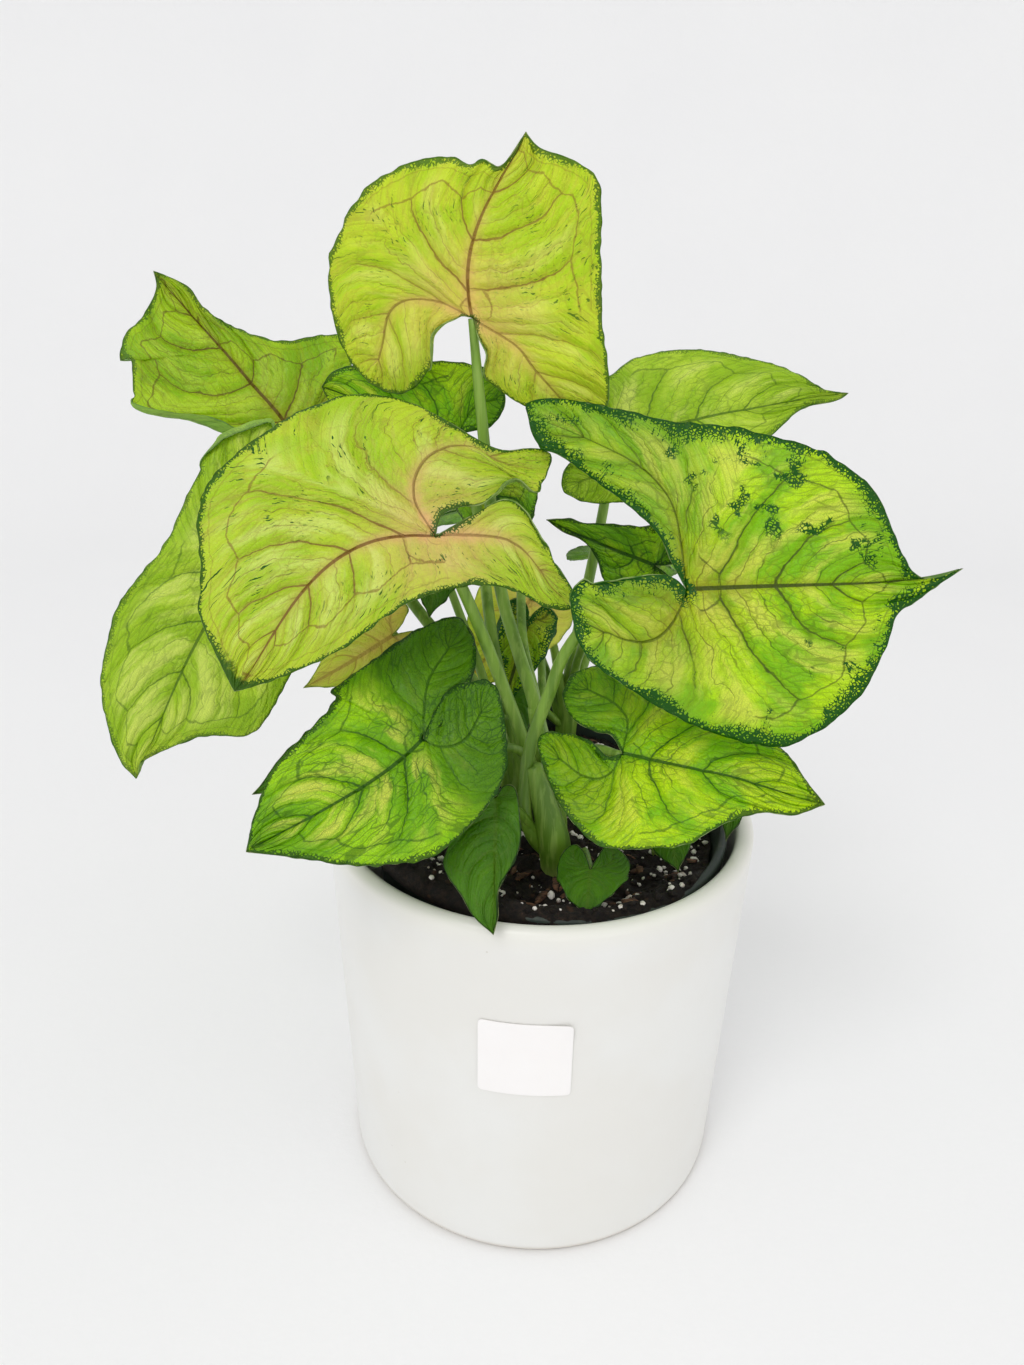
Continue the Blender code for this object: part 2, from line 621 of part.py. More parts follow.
class Blade:
    """A leaf's shape: flat points along its veins, and the bending that carries them into space."""

    def __init__(self, leaf):
        self.leaf = leaf
        self.base = Vector(leaf.at)
        self.ahead = Vector(leaf.tip) - self.base
        self.length = self.ahead.length
        self.ahead.normalize()
        face = Vector(leaf.face)
        self.up = (face - self.ahead * face.dot(self.ahead)).normalized()
        self.side = self.up.cross(self.ahead)
        self.apex = leaf.apex or (self.length, 0.0)

    def midrib(self, along):
        """The midrib's sideways place at a distance from the petiole."""
        share = np.clip(along / self.apex[0], 0, 1)
        return self.leaf.bow * 5.4 * share * (1 - share) ** 1.5 + self.apex[1] * share**6

    def lobe_vein(self, outer, inner, count):
        """The vein from the petiole into a lobe, between the lobe's outer and inner margins."""
        outside = spread(outer, VEIN_STEPS)
        inside = spread(inner, VEIN_STEPS)[::-1]
        share = np.linspace(0, 1, VEIN_STEPS + 1)[:, None]
        lean = VEIN_BALANCE * np.sin(np.pi / 2 * np.minimum(1, 2 * share))
        vein = spread((inside + lean * (outside - inside))[:-VEIN_SHORT], VEIN_STEPS)
        feet = np.minimum(1, np.linspace(0, 1, count + 1) / VEIN_FAN) * VEIN_STEPS
        return np.stack([np.interp(feet, range(VEIN_STEPS + 1), vein[:, k]) for k in range(2)], axis=1)

    def half(self, side, rows, lobe_rows, columns):
        """Flat points of one half: rows run tip to petiole, then out and back round the lobe's vein."""
        outline = self.leaf.left if side > 0 else self.leaf.right
        path = smooth_path([self.apex, *outline, (0.0, 0.0)])
        lean = path[:, 0] - VEIN_SLANT * np.abs(path[:, 1])
        shoulder = int(np.argmax(lean <= 0))
        corner = int(np.argmax(0.35 * np.abs(path[:, 1]) - path[:, 0]))
        front = spread(path[: shoulder + 1], rows)
        outer = spread(path[shoulder : corner + 1], lobe_rows)
        inner = spread(path[corner:], lobe_rows)
        foot = 0.96 * self.apex[0] * np.linspace(1, 0, rows + 1)
        rib = np.stack([foot, self.midrib(foot)], axis=1)
        vein = self.lobe_vein(path[shoulder : corner + 1], path[corner:], lobe_rows)
        margin = np.concatenate([front, outer[1:], inner[1:]])
        ribs = np.concatenate([rib, vein[1:], vein[-2::-1]])
        share = np.linspace(0, 1, columns + 1)[None, :, None]
        reach = margin - ribs
        flat = ribs[:, None] + reach[:, None] * share
        bend = VEIN_BEND * np.linalg.norm(reach, axis=1)[:, None] * (4 * share * (1 - share))[..., 0]
        bend[rows + 1 :] *= 0
        bend[: rows + 1] *= (np.linspace(0, 1, rows + 1) * np.linspace(1, 0, rows + 1))[:, None] * 4
        flat[..., 0] -= bend
        return flat, share[..., 0] + np.zeros(flat.shape[:2])

    def height(self, flat, share, side):
        """How far the blade stands above its plane at the flat points."""
        leaf = self.leaf
        pick = 0 if side > 0 else 1
        outline = np.array(leaf.left if side > 0 else leaf.right)
        width = np.abs(outline[:, 1]).max()
        reach = max(-outline[:, 0].min(), 1.0)
        along, across = flat[..., 0], flat[..., 1]
        ahead = along / self.length
        out = np.abs(across - self.midrib(along)) / width
        turn = np.linspace(0, 1, flat.shape[0])[:, None]
        calm = np.sin(np.pi * turn)
        rise = np.where(ahead > 0, 4 * leaf.arch * ahead * (1 - ahead), 2 * leaf.arch * ahead)
        rise += leaf.fold[pick] * out - leaf.droop[pick] * out**2
        rise += leaf.lobe_lift[pick] * (np.maximum(0, -along) / reach) ** 2
        rise -= leaf.curl[pick] * share**3 * calm
        rise += leaf.tip_lift * np.maximum(0, ahead - 0.8) * 5
        rise += leaf.ripple * share**2 * calm * np.sin(2 * np.pi * leaf.waves * turn + leaf.phase)
        return rise

    def points(self, side, rows, lobe_rows, columns):
        """The half's points in space, in millimetres."""
        flat, share = self.half(side, rows, lobe_rows, columns)
        rise = self.height(flat, share, side)
        base, ahead = np.array(self.base), np.array(self.ahead)
        return (
            base
            + flat[..., :1] * ahead
            + flat[..., 1:] * np.array(self.side)
            + rise[..., None] * np.array(self.up)
        )

    def grid(self):
        """How many rows, lobe rows and columns each half gets."""
        return LARGE_GRID if self.length > LARGE_BLADE else SMALL_GRID

    def stalk_end(self):
        """Where the stalk stops, just under the blade."""
        return self.base - self.up * STALK_BELOW_BLADE - self.ahead * 0.6


def make_blade(name, leaf, collection, material):
    blade = Blade(leaf)
    work = bmesh.new()
    for side in (1, -1):
        grid = blade.points(side, *blade.grid())
        verts = [[work.verts.new(mm(*point)) for point in row] for row in grid]
        for low, high in zip(verts, verts[1:]):
            for i in range(len(low) - 1):
                corners = (low[i], low[i + 1], high[i + 1], high[i])
                work.faces.new(corners if side > 0 else reversed(corners))
    bmesh.ops.remove_doubles(work, verts=work.verts, dist=0.00002)
    bmesh.ops.triangulate(work, faces=work.faces)
    mesh = bpy.data.meshes.new(name)
    work.to_mesh(mesh)
    work.free()
    shade(mesh, 60)
    made = add_object(name, mesh, collection, material)
    sheet = made.modifiers.new("Thickness", "SOLIDIFY")
    sheet.thickness = BLADE_THICKNESS * 0.001
    sheet.offset = 0
    return made


def make_tube(name, points, radii, collection):
    """A round tube through the points, as a curve whose bevel follows the radii."""
    curve = bpy.data.curves.new(name, "CURVE")
    curve.dimensions = "3D"
    curve.bevel_depth = 0.001
    curve.bevel_resolution = 2
    curve.resolution_u = 2
    curve.use_fill_caps = True
    spline = curve.splines.new("BEZIER")
    spline.bezier_points.add(len(points) - 1)
    for knot, point, radius in zip(spline.bezier_points, points, radii):
        knot.co = mm(*point)
        knot.radius = radius
        knot.handle_left_type = "AUTO"
        knot.handle_right_type = "AUTO"
    made = add_object(name, curve, collection)
    mesh = evaluated_mesh(made)
    bpy.data.objects.remove(made, do_unlink=True)
    return add_object(name, mesh, collection)


def make_stem(name, stem, collection, material):
    """A short stem with its stalks, joined into one body."""
    stalks = new_collection(f"{name}_stalks")
    for stalk in stem.stalks:
        end = Blade(LEAVES[stalk.leaf]).stalk_end()
        points = [*stalk.through, tuple(end)]
        shares = [i / (len(points) - 1) for i in range(len(points))]
        radii = [stalk.foot_r + (stalk.neck_r - stalk.foot_r) * share for share in shares]
        radii[-1] = STALK_TIP_R
        make_tube(f"stalk_{stalk.leaf}", points, radii, stalks)
    core = make_tube(f"{name}_core", stem.core, stem.radii, collection)
    mesh = join_collection(core, stalks)
    bpy.data.objects.remove(core, do_unlink=True)
    shade(mesh, 50)
    return add_object(name, mesh, collection, material)


def leaf_colour(name):
    for colour, leaves in LEAF_COLOURS.items():
        if name.removeprefix("leaf_") in leaves:
            return colour
    raise ValueError(name)


def main():
    clear_scene()
    plant = new_collection("arrowhead_plant")
    cutters = new_collection("cutters")
    make_cachepot(plant, make_material("cachepot"))
    make_label(plant, make_material("label"))
    frame = add_object("nursery_frame", None, plant)
    frame.matrix_world = nursery_frame()
    bpy.context.view_layer.update()
    make_nursery_pot(plant, cutters, make_material("nursery_pot"), frame)
    make_soil(plant, cutters, make_material("soil"), frame)
    for name, leaf in LEAVES.items():
        make_blade(name, leaf, plant, make_material(leaf_colour(name)))
    for name, stem in STEMS.items():
        make_stem(name, stem, plant, make_material("stem"))


main()
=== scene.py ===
"""Looks of the arrowhead plant (Syngonium podophyllum) in its nursery pot and white outer pot.

The sizes below are millimetres, and mm() turns them into metres. The leaves and stems are the source's own
tables, worked out finer here: veins, relief, thin margins, sheaths, loose soil, soft pot edges.
"""

import math
import random
from dataclasses import dataclass, field

import bmesh
import bpy
import numpy as np
from mathutils import Matrix, Vector, noise


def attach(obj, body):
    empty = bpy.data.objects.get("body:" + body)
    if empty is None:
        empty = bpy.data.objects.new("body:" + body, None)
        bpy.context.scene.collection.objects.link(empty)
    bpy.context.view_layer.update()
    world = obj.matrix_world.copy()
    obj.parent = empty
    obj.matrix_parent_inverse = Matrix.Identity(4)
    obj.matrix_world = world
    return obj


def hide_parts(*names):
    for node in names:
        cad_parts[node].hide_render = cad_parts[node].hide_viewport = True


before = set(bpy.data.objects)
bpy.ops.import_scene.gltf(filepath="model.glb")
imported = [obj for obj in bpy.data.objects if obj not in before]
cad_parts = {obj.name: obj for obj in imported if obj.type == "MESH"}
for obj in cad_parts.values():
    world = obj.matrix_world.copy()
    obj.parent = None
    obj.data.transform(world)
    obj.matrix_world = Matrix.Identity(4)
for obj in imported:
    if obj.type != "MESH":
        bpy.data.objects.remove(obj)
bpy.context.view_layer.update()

# Outer pot
POT_HEIGHT = 112.0
POT_RIM_R = 60.0
POT_BASE_R = 56.0
POT_LIP_R = 2.45
POT_WALL_FOOT_R = 51.5
POT_FLOOR = 6.3
POT_CORNER_R = 2.2
POT_STEPS = 144

# Nursery pot, in its own frame
NURSERY_HEIGHT = 106.0
NURSERY_RIM_R = 50.0
NURSERY_BASE_R = 37.0
NURSERY_WALL = 1.3
NURSERY_RIM_BAND = 8.0
NURSERY_RIM_WIDTH = 2.4
NURSERY_TILT = 8.0
NURSERY_LEAN = -55.0
NURSERY_RIM_OFFSET = 4.6
NURSERY_RIM_Z = 116.7
DRAIN_HOLES = 8
DRAIN_R = 4.0
DRAIN_RING_R = 24.0
DRAIN_TURN = 2.0

# Soil
GAP = 0.3
SOIL_BELOW_RIM = 7.0
SOIL_RINGS = 74
SOIL_STEPS = 260
SOIL_WALL_RINGS = 6
PERLITE = 560
BARK = 130
CRUMBS = 1500
SPILL_RINGS = 12
HEAP_TOWARDS = -130.0
HEAP_START = 0.80
GAP_TOWARDS = -185.0

# Label
LABEL_WIDTH = 24.0
LABEL_HEIGHT = 23.5
LABEL_MIDDLE_Z = 72.2
LABEL_OFFSET = -2.0
LABEL_THICKNESS = 0.22
LABEL_LIFT = 1.2
LABEL_CORNER_R = 1.2
LABEL_GRID = 30

# Blades and stalks
BLADE_THICKNESS = 0.4
LARGE_BLADE = 40.0
LARGE_GRID = (92, 46, 30)
SMALL_GRID = (36, 18, 13)
VEIN_SLANT = 0.55
VEIN_BEND = 0.10
VEIN_STEPS = 24
VEIN_BALANCE = 0.45
VEIN_SHORT = 8
VEIN_FAN = 0.75
STALK_TIP_R = 1.0
STALK_SIDES = 4

# Camera and stage
CAMERA_AT = (0.0, -266.11, 266.80)
CAMERA_RIGHT = (0.99898932, 0.04133547, 0.01765561)
CAMERA_UP = (-0.03278569, 0.40140104, 0.91531541)
CAMERA_AHEAD = (-0.03074801, 0.91496917, -0.40235057)
CAMERA_LENS = 28.17
FLOOR_FLAT = 700.0
FLOOR_SWEEP = 500.0
ARCH = 0.45
VEIN_SKEW = 0.30
SWELL = 1.3
RAGGED = 0.55
ROLL_R = 0.9
ROLL_COLUMNS = 10
QUILT = 1.15
WORLD_LIGHT = 0.78
KEY_LIGHT = 14.0
FILL_LIGHT = 1.0


@dataclass
class Leaf:
    """One blade. Its outlines are (along, across) points from beside the tip round to the sinus."""

    at: tuple
    tip: tuple
    face: tuple
    left: list
    right: list
    apex: tuple = None
    arch: float = 2.0
    bow: float = 0.0
    fold: tuple = (0.0, 0.0)
    droop: tuple = (2.0, 2.0)
    lobe_lift: tuple = (0.0, 0.0)
    curl: tuple = (0.0, 0.0)
    tip_lift: float = 0.0
    ripple: float = 0.5
    waves: float = 3.0
    phase: float = 0.0


@dataclass
class Stalk:
    """One leaf stalk: the leaf that it carries, its thickness, and the points that it bends through."""

    leaf: str
    through: list
    foot_r: float = 1.9
    neck_r: float = 1.3


@dataclass
class Stem:
    """A short stem in the soil, as points with radii, and the stalks that grow from it."""

    core: list
    radii: list
    stalks: list = field(default_factory=list)


def arrowhead(length, width, reach):
    """Half an arrowhead outline: its length, its half width, and how far the lobe reaches back."""
    return [
        (0.86 * length, 0.16 * width),
        (0.58 * length, 0.60 * width),
        (0.25 * length, 0.93 * width),
        (-0.15 * reach, 1.00 * width),
        (-0.75 * reach, 0.80 * width),
        (-1.00 * reach, 0.42 * width),
        (-0.65 * reach, 0.16 * width),
    ]


def mirrored(points):
    return [(along, -across) for along, across in points]


def even_leaf(at, tip, face, width, reach, **bends):
    """A leaf with two like halves."""
    half = arrowhead(math.dist(at, tip), width, reach)
    return Leaf(at, tip, face, half, mirrored(half), **bends)


LEAVES = {
    "leaf_top": Leaf(
        at=(-20, -2, 244), tip=(-8, -6, 283), face=(-0.15, -0.99, -0.06),
        left=[(33, 3), (33, 7), (31, 10), (31, 15), (27, 23), (18, 32), (7, 36), (-1, 37),
              (-15, 32), (-23, 24), (-25, 17), (-23, 11), (-16, 7), (-6, 8), (-1, 4)],
        right=[(39, -4), (39, -12), (37, -18), (29, -22), (10, -29), (-9, -37), (-15, -28),
               (-16, -18), (-13, -8), (-6, -6), (-3, -3)],
        arch=1.5, bow=4.5, droop=(2.5, 2.5), lobe_lift=(-2.0, -2.0), ripple=0.7,
    ),
    "leaf_upper_left": Leaf(
        at=(-67, 16, 211), tip=(-107, 32, 251), face=(0.28, -0.76, 0.59),
        left=[(54, 3), (49, 12), (48, 17), (43, 23), (41, 21), (29, 28), (18, 19), (8, 13), (-4, 9),
              (-3, 3)],
        right=[(50, -4), (41, -4), (24, -12), (17, -26), (12, -28), (5, -21), (1, -12), (-2, -5)],
        arch=1.0, fold=(0.0, 4.0), droop=(2.0, 0.0), curl=(-2.5, 0.0), ripple=1.2, waves=3.5,
    ),
    "leaf_mid_left": Leaf(
        at=(-26, -30, 199), tip=(-67, -58, 171), face=(0.24, -0.84, 0.48),
        left=[(50, 3), (35, 7), (17, 8), (4, 12), (-1, 15), (-7, 21), (-11, 29), (-16, 33),
              (-19, 29), (-19, 17), (-20, 8), (-17, 3), (-7, 1)],
        right=[(55, -9), (52, -18), (46, -25), (39, -35), (30, -40), (14, -41), (-1, -40),
               (-8, -37), (-17, -28), (-25, -9), (-33, -3), (-36, 1), (-31, 5), (-26, 5), (-24, 0),
               (-14, 0), (-5, -3)],
        arch=3.0, bow=-9.0, droop=(3.0, 4.0), lobe_lift=(1.0, -1.0), ripple=0.5,
    ),
    "leaf_far_left": Leaf(
        at=(-73, -6, 188), tip=(-108, -20, 127), face=(0.17, -0.98, 0.12),
        left=[(67, -1), (55, 7), (50, 14), (48, 19), (42, 22), (26, 22), (10, 22), (-5, 18),
              (-14, 12), (-8, 3)],
        right=[(67, -8), (52, -19), (38, -23), (28, -24), (11, -21), (-3, -22), (-18, -21),
               (-27, -14), (-26, -11), (-19, -6), (-9, -3)],
        arch=2.5, bow=-3.0, droop=(2.0, 3.0), lobe_lift=(-2.0, -3.0), ripple=0.6,
    ),
    "leaf_front_left": Leaf(
        at=(-28, -44, 154), tip=(-64, -70, 138), face=(0.15, -0.67, 0.73),
        left=[(40, 7), (29, 17), (16, 24), (3, 23), (-9, 19), (-16, 12), (-22, 1), (-22, -3),
              (-20, -5), (-13, -7), (-6, -4)],
        right=[(41, -6), (32, -12), (13, -18), (11, -21), (-2, -23), (-16, -25), (-26, -24),
               (-28, -20), (-25, -12), (-17, -5), (-8, -1)],
        arch=2.5, bow=2.5, fold=(1.0, 2.0), droop=(2.5, 1.5), lobe_lift=(2.0, -3.0), ripple=0.4,
    ),
    "leaf_right": Leaf(
        at=(31, -36, 190), tip=(83, -42, 195), face=(-0.14, -0.91, 0.39), apex=(59, 3),
        left=[(53, 1), (49, 2), (46, 7), (42, 18), (37, 24), (28, 30), (10, 36), (-1, 38),
              (-15, 42), (-29, 46), (-36, 46), (-37, 44), (-34, 35), (-27, 31), (-8, 15), (-3, 6)],
        right=[(53, -1), (49, -4), (45, -7), (42, -16), (35, -27), (23, -35), (15, -35), (2, -31),
               (-15, -21), (-24, -13), (-26, -3), (-23, 2), (-20, 1), (-13, 2), (-4, 3)],
        arch=2.5, fold=(1.5, 1.5), droop=(4.0, 4.0), lobe_lift=(-2.0, 0.0), tip_lift=1.0, ripple=0.6,
    ),
    "leaf_right_low": Leaf(
        at=(19, -38, 149), tip=(64, -54, 146), face=(-0.13, -0.51, 0.85),
        left=[(43, 4), (38, 9), (30, 15), (18, 22), (4, 25), (-9, 25), (-17, 22), (-20, 17),
              (-19, 11), (-14, 6), (-8, 4), (-4, 4)],
        right=[(42, -5), (35, -7), (28, -12), (20, -20), (5, -24), (-1, -23), (-10, -17), (-19, -6),
               (-21, 0), (-14, 2), (-8, 1), (-3, -2)],
        arch=1.5, fold=(1.0, 1.0), droop=(2.0, 2.5), ripple=0.5,
    ),
    "leaf_back_right": Leaf(
        at=(17, 28, 211), tip=(78, 42, 222), face=(0.09, -0.83, 0.55), apex=(68, 0),
        left=[(60, 2), (51, 10), (42, 15), (30, 20), (13, 22), (3, 19), (-10, 18), (-18, 12),
              (-16, 5), (-6, 2)],
        right=[(63, -2), (52, -3), (43, -8), (36, -12), (24, -15), (8, -17), (-8, -16), (-17, -11),
               (-14, -4), (-5, -2)],
        arch=3.0, droop=(3.0, 3.0), ripple=0.6,
    ),
    "leaf_back_mid": Leaf(
        at=(-24, 9, 215), tip=(-60, 14, 225), face=(-0.12, -0.99, -0.02),
        left=[(32, 5), (18, 11), (4, 14), (-8, 12), (-15, 7), (-14, 2), (-6, 1)],
        right=[(34, -6), (20, -12), (8, -16), (-3, -17), (-9, -12), (-8, -5), (-4, -2)],
        arch=1.0, droop=(2.0, 1.5), ripple=0.5,
    ),
    "leaf_inner": even_leaf(
        at=(-16, 20, 200), tip=(-8, 13, 180), face=(-0.01, -0.94, 0.33), width=12, reach=6,
    ),
    "leaf_behind_right": Leaf(
        at=(27, -6, 186), tip=(-1, 2, 195), face=(-0.30, -0.95, -0.09),
        left=[(25, 1), (20, 1), (15, 4), (10, 10), (0, 11), (-6, 6), (-5, 2)],
        right=[(25, -3), (20, -4), (5, -9), (-3, -9), (-6, -5), (-4, -2)],
        arch=1.0, droop=(1.0, 1.0),
    ),
    "leaf_pale": even_leaf(
        at=(-5, 28, 164), tip=(-26, 10, 139), face=(0.15, -0.86, 0.49), width=14, reach=10,
    ),
    "leaf_mottled": even_leaf(
        at=(-5, 14, 163), tip=(-12, 6, 138), face=(0.0, -0.95, 0.30), width=8, reach=5,
    ),
    "leaf_blush": even_leaf(
        at=(-39, -14, 168), tip=(-61, -22, 156), face=(0.23, -0.95, 0.21), width=10, reach=7,
    ),
    "leaf_dark": even_leaf(
        at=(-28, -6, 186), tip=(-30, -12, 172), face=(0.12, -0.92, 0.38), width=7, reach=5,
        ripple=0.3,
    ),
    "leaf_low_middle": even_leaf(
        at=(-10, 22, 136), tip=(-7, 16, 118), face=(0.05, -0.95, 0.32), width=6, reach=4,
        ripple=0.3,
    ),
    "leaf_low_left": even_leaf(
        at=(-52, -30, 142), tip=(-71, -40, 135), face=(0.25, -0.84, 0.48), width=8, reach=6,
        ripple=0.3,
    ),
    "leaf_soil_left": Leaf(
        at=(-11, -40, 137), tip=(-10, -64, 114), face=(0.12, -0.67, 0.73),
        left=[(29, 1), (23, 1), (17, 4), (12, 6), (7, 6), (-2, 5), (-3, 2)],
        right=[(29, -5), (24, -8), (20, -11), (16, -12), (5, -9), (-1, -6), (-3, -2)],
        arch=1.0, droop=(0.5, 1.0), ripple=0.3,
    ),
    "leaf_heart": Leaf(
        at=(13, -38, 116), tip=(12, -49, 110), face=(0.0, -0.45, 0.89),
        left=[(9, 4), (4, 8), (-2, 10), (-6, 8), (-8, 4), (-5, 2)],
        right=[(9, -5), (3, -8), (-3, -8), (-7, -5), (-5, -2)],
        arch=0.8, droop=(1.0, 1.0), ripple=0.2,
    ),
    "leaf_soil_right": even_leaf(
        at=(34, -24, 119), tip=(36, -32, 112), face=(-0.17, -0.69, 0.71), width=6, reach=4,
        arch=0.8, droop=(1.0, 1.0), ripple=0.2,
    ),
    "leaf_rim_right": even_leaf(
        at=(53, -10, 125), tip=(50, -18, 113), face=(-0.16, -0.81, 0.56), width=4.5, reach=3,
        arch=0.8, droop=(0.5, 0.5), ripple=0.1,
    ),
    "leaf_rear_left": even_leaf(
        at=(-26, 42, 186), tip=(-48, 74, 166), face=(-0.25, 0.45, 0.86), width=21, reach=16,
        arch=4.0, droop=(4.0, 4.0),
    ),
    "leaf_rear_right": even_leaf(
        at=(24, 52, 172), tip=(40, 84, 150), face=(0.20, 0.50, 0.84), width=18, reach=14,
        arch=4.0, droop=(4.0, 4.0),
    ),
}

STEMS = {
    "stem_front": Stem(
        core=[(4, -22, 96), (4, -22, 108), (3, -18, 121), (1, -14, 134)],
        radii=[3.4, 3.7, 3.2, 1.6],
        stalks=[
            Stalk("leaf_mid_left", [(4, -21, 112), (-5, -17, 140), (-13, -20, 164), (-20, -25, 184)]),
            Stalk("leaf_top", [(4, -21, 112), (-2, -12, 147), (-7, -9, 162), (-12, -6, 178),
                               (-16, 0, 206), (-18, 1, 223)]),
            Stalk("leaf_right", [(4, -22, 108), (-3, -26, 120), (-4, -25, 134), (-3, -25, 144),
                                 (1, -26, 158), (5, -28, 171), (12, -31, 181)]),
            Stalk("leaf_right_low", [(4, -22, 112), (5, -20, 132), (12, -26, 143)]),
            Stalk("leaf_front_left", [(3, -20, 118), (-5, -19, 138), (-16, -30, 144)], 1.4, 1.1),
            Stalk("leaf_soil_left", [(4, -23, 108), (-4, -28, 124)], 1.4, 1.0),
        ],
    ),
    "stem_left": Stem(
        core=[(-6, -6, 98), (-6, -6, 111), (-7, -5, 126)],
        radii=[3.2, 3.4, 1.8],
        stalks=[
            Stalk("leaf_back_mid", [(-6, -6, 112), (-9, -3, 140), (-14, 3, 158), (-20, 16, 194)]),
            Stalk("leaf_upper_left", [(-6, -6, 112), (-13, -8, 142), (-24, -9, 161), (-35, -2, 172),
                                      (-51, 10, 190)]),
            Stalk("leaf_far_left", [(-6, -6, 112), (-16, -9, 137), (-30, -10, 151), (-44, -5, 165),
                                    (-58, 1, 177)]),
            Stalk("leaf_inner", [(-6, -6, 112), (-2, -5, 144), (-6, 1, 160), (-9, 18, 181)], 1.5, 1.1),
            Stalk("leaf_mottled", [(-6, -6, 112), (-2, 4, 134), (-1, 13, 148), (-3, 17, 157)],
                  1.4, 1.0),
            Stalk("leaf_dark", [(-6, -6, 112), (-16, -3, 150), (-24, -1, 172)], 1.4, 1.0),
            Stalk("leaf_blush", [(-6, -6, 112), (-18, -3, 138), (-32, -8, 157)], 1.4, 1.0),
            Stalk("leaf_low_left", [(-6, -6, 112), (-24, -14, 128), (-42, -24, 137)], 1.4, 1.0),
        ],
    ),
    "stem_back": Stem(
        core=[(7, 38, 102), (7, 38, 116), (8, 38, 132)],
        radii=[3.0, 3.2, 1.8],
        stalks=[
            Stalk("leaf_back_right", [(7, 38, 118), (9, 41, 144), (12, 36, 168), (15, 33, 190)]),
            Stalk("leaf_behind_right", [(7, 38, 118), (10, 34, 144), (18, 18, 168)], 1.5, 1.1),
            Stalk("leaf_pale", [(7, 38, 118), (4, 36, 138), (0, 31, 155)], 1.5, 1.1),
            Stalk("leaf_low_middle", [(7, 38, 118), (-4, 31, 130)], 1.4, 1.0),
            Stalk("leaf_rear_left", [(7, 38, 118), (-4, 42, 145), (-17, 42, 170)]),
            Stalk("leaf_rear_right", [(7, 38, 118), (13, 44, 142), (20, 50, 160)]),
        ],
    ),
    "stem_heart": Stem(
        core=[(12, -20, 98), (12, -20, 109)], radii=[1.5, 1.2],
        stalks=[Stalk("leaf_heart", [(12, -20, 108), (12, -27, 114)], 1.0, 0.9)],
    ),
    "stem_soil_right": Stem(
        core=[(32, -14, 96), (32, -14, 108)], radii=[1.5, 1.2],
        stalks=[Stalk("leaf_soil_right", [(32, -14, 107), (33, -18, 114)], 1.0, 0.9)],
    ),
    "stem_rim_right": Stem(
        core=[(42, -4, 95), (42, -4, 108)], radii=[1.5, 1.2],
        stalks=[Stalk("leaf_rim_right", [(42, -4, 107), (47, -5, 117)], 1.0, 0.9)],
    ),
}

# How each leaf looks: its palette, and the number of side veins of the front half and of a lobe.
LOOKS = {
    "leaf_top": ("lime_pink", 4, 3),
    "leaf_upper_left": ("lime_green", 5, 3),
    "leaf_mid_left": ("lime_tipped", 5, 3),
    "leaf_right": ("lime_mottled", 5, 3),
    "leaf_far_left": ("pale_green", 5, 3),
    "leaf_front_left": ("bright_front", 4, 3),
    "leaf_right_low": ("fresh_green", 4, 3),
    "leaf_back_right": ("pale_green", 5, 3),
    "leaf_back_mid": ("fresh_green", 4, 2),
    "leaf_mottled": ("lime_mottled", 3, 2),
    "leaf_heart": ("dark_green", 3, 2),
    "leaf_rim_right": ("dark_green", 3, 2),
    "leaf_rear_left": ("fresh_green", 4, 3),
    "leaf_rear_right": ("fresh_green", 4, 3),
    "leaf_inner": ("deep_green", 3, 2),
    "leaf_behind_right": ("deep_green", 3, 2),
    "leaf_dark": ("dark_green", 3, 2),
    "leaf_low_middle": ("dark_green", 3, 2),
    "leaf_low_left": ("dark_green", 3, 2),
    "leaf_soil_left": ("dark_green", 4, 2),
    "leaf_soil_right": ("dark_green", 3, 2),
    "leaf_pale": ("blush", 4, 2),
    "leaf_blush": ("blush", 4, 2),
}
# Sheaths that wrap the foot of a stalk, as points with radii.
SHEATHS = {
    "stem_front": [
        ([(5, -23, 99), (4.8, -24, 106), (3.6, -25, 116), (0.8, -25.6, 127), (-2.2, -25.4, 138)],
         [3.6, 4.5, 4.4, 3.3, 2.1]),
        ([(4, -19, 104), (3.4, -17, 118), (0.4, -13.5, 134), (-2.4, -11.5, 148)],
         [3.6, 3.8, 3.0, 2.0]),
    ],
    "stem_left": [
        ([(-6, -6, 103), (-6.5, -5.8, 116), (-8, -5.2, 130), (-10, -4, 142)], [3.4, 3.6, 2.9, 2.0]),
    ],
    "stem_back": [
        ([(7, 38, 106), (7.2, 38.2, 120), (8, 38.8, 134), (9, 40, 146)], [3.2, 3.4, 2.7, 1.9]),
    ],
}
# Strips of margin that curl over the face: the side, where along the margin they start and end, the width.
ROLLS = {
    "leaf_top": [(1, 0.87, 0.985, 2.6), (-1, 0.90, 0.99, 2.2)],
    "leaf_upper_left": [(1, 0.29, 0.52, 7.0)],
    "leaf_mid_left": [(-1, 0.80, 0.93, 2.6), (1, 0.80, 0.93, 1.8)],
    "leaf_far_left": [(-1, 0.62, 0.80, 3.6)],
    "leaf_right": [(-1, 0.78, 0.97, 1.6)],
}


def mm(*values):
    """Millimetres to metres."""
    return Vector(values) * 0.001


def colour(red, green, blue):
    """A colour from its usual 0 to 255 numbers, as Blender's linear one."""
    def linear(value):
        share = value / 255
        return share / 12.92 if share <= 0.04045 else ((share + 0.055) / 1.055) ** 2.4

    return (linear(red), linear(green), linear(blue), 1.0)


# ---------------------------------------------------------------- materials


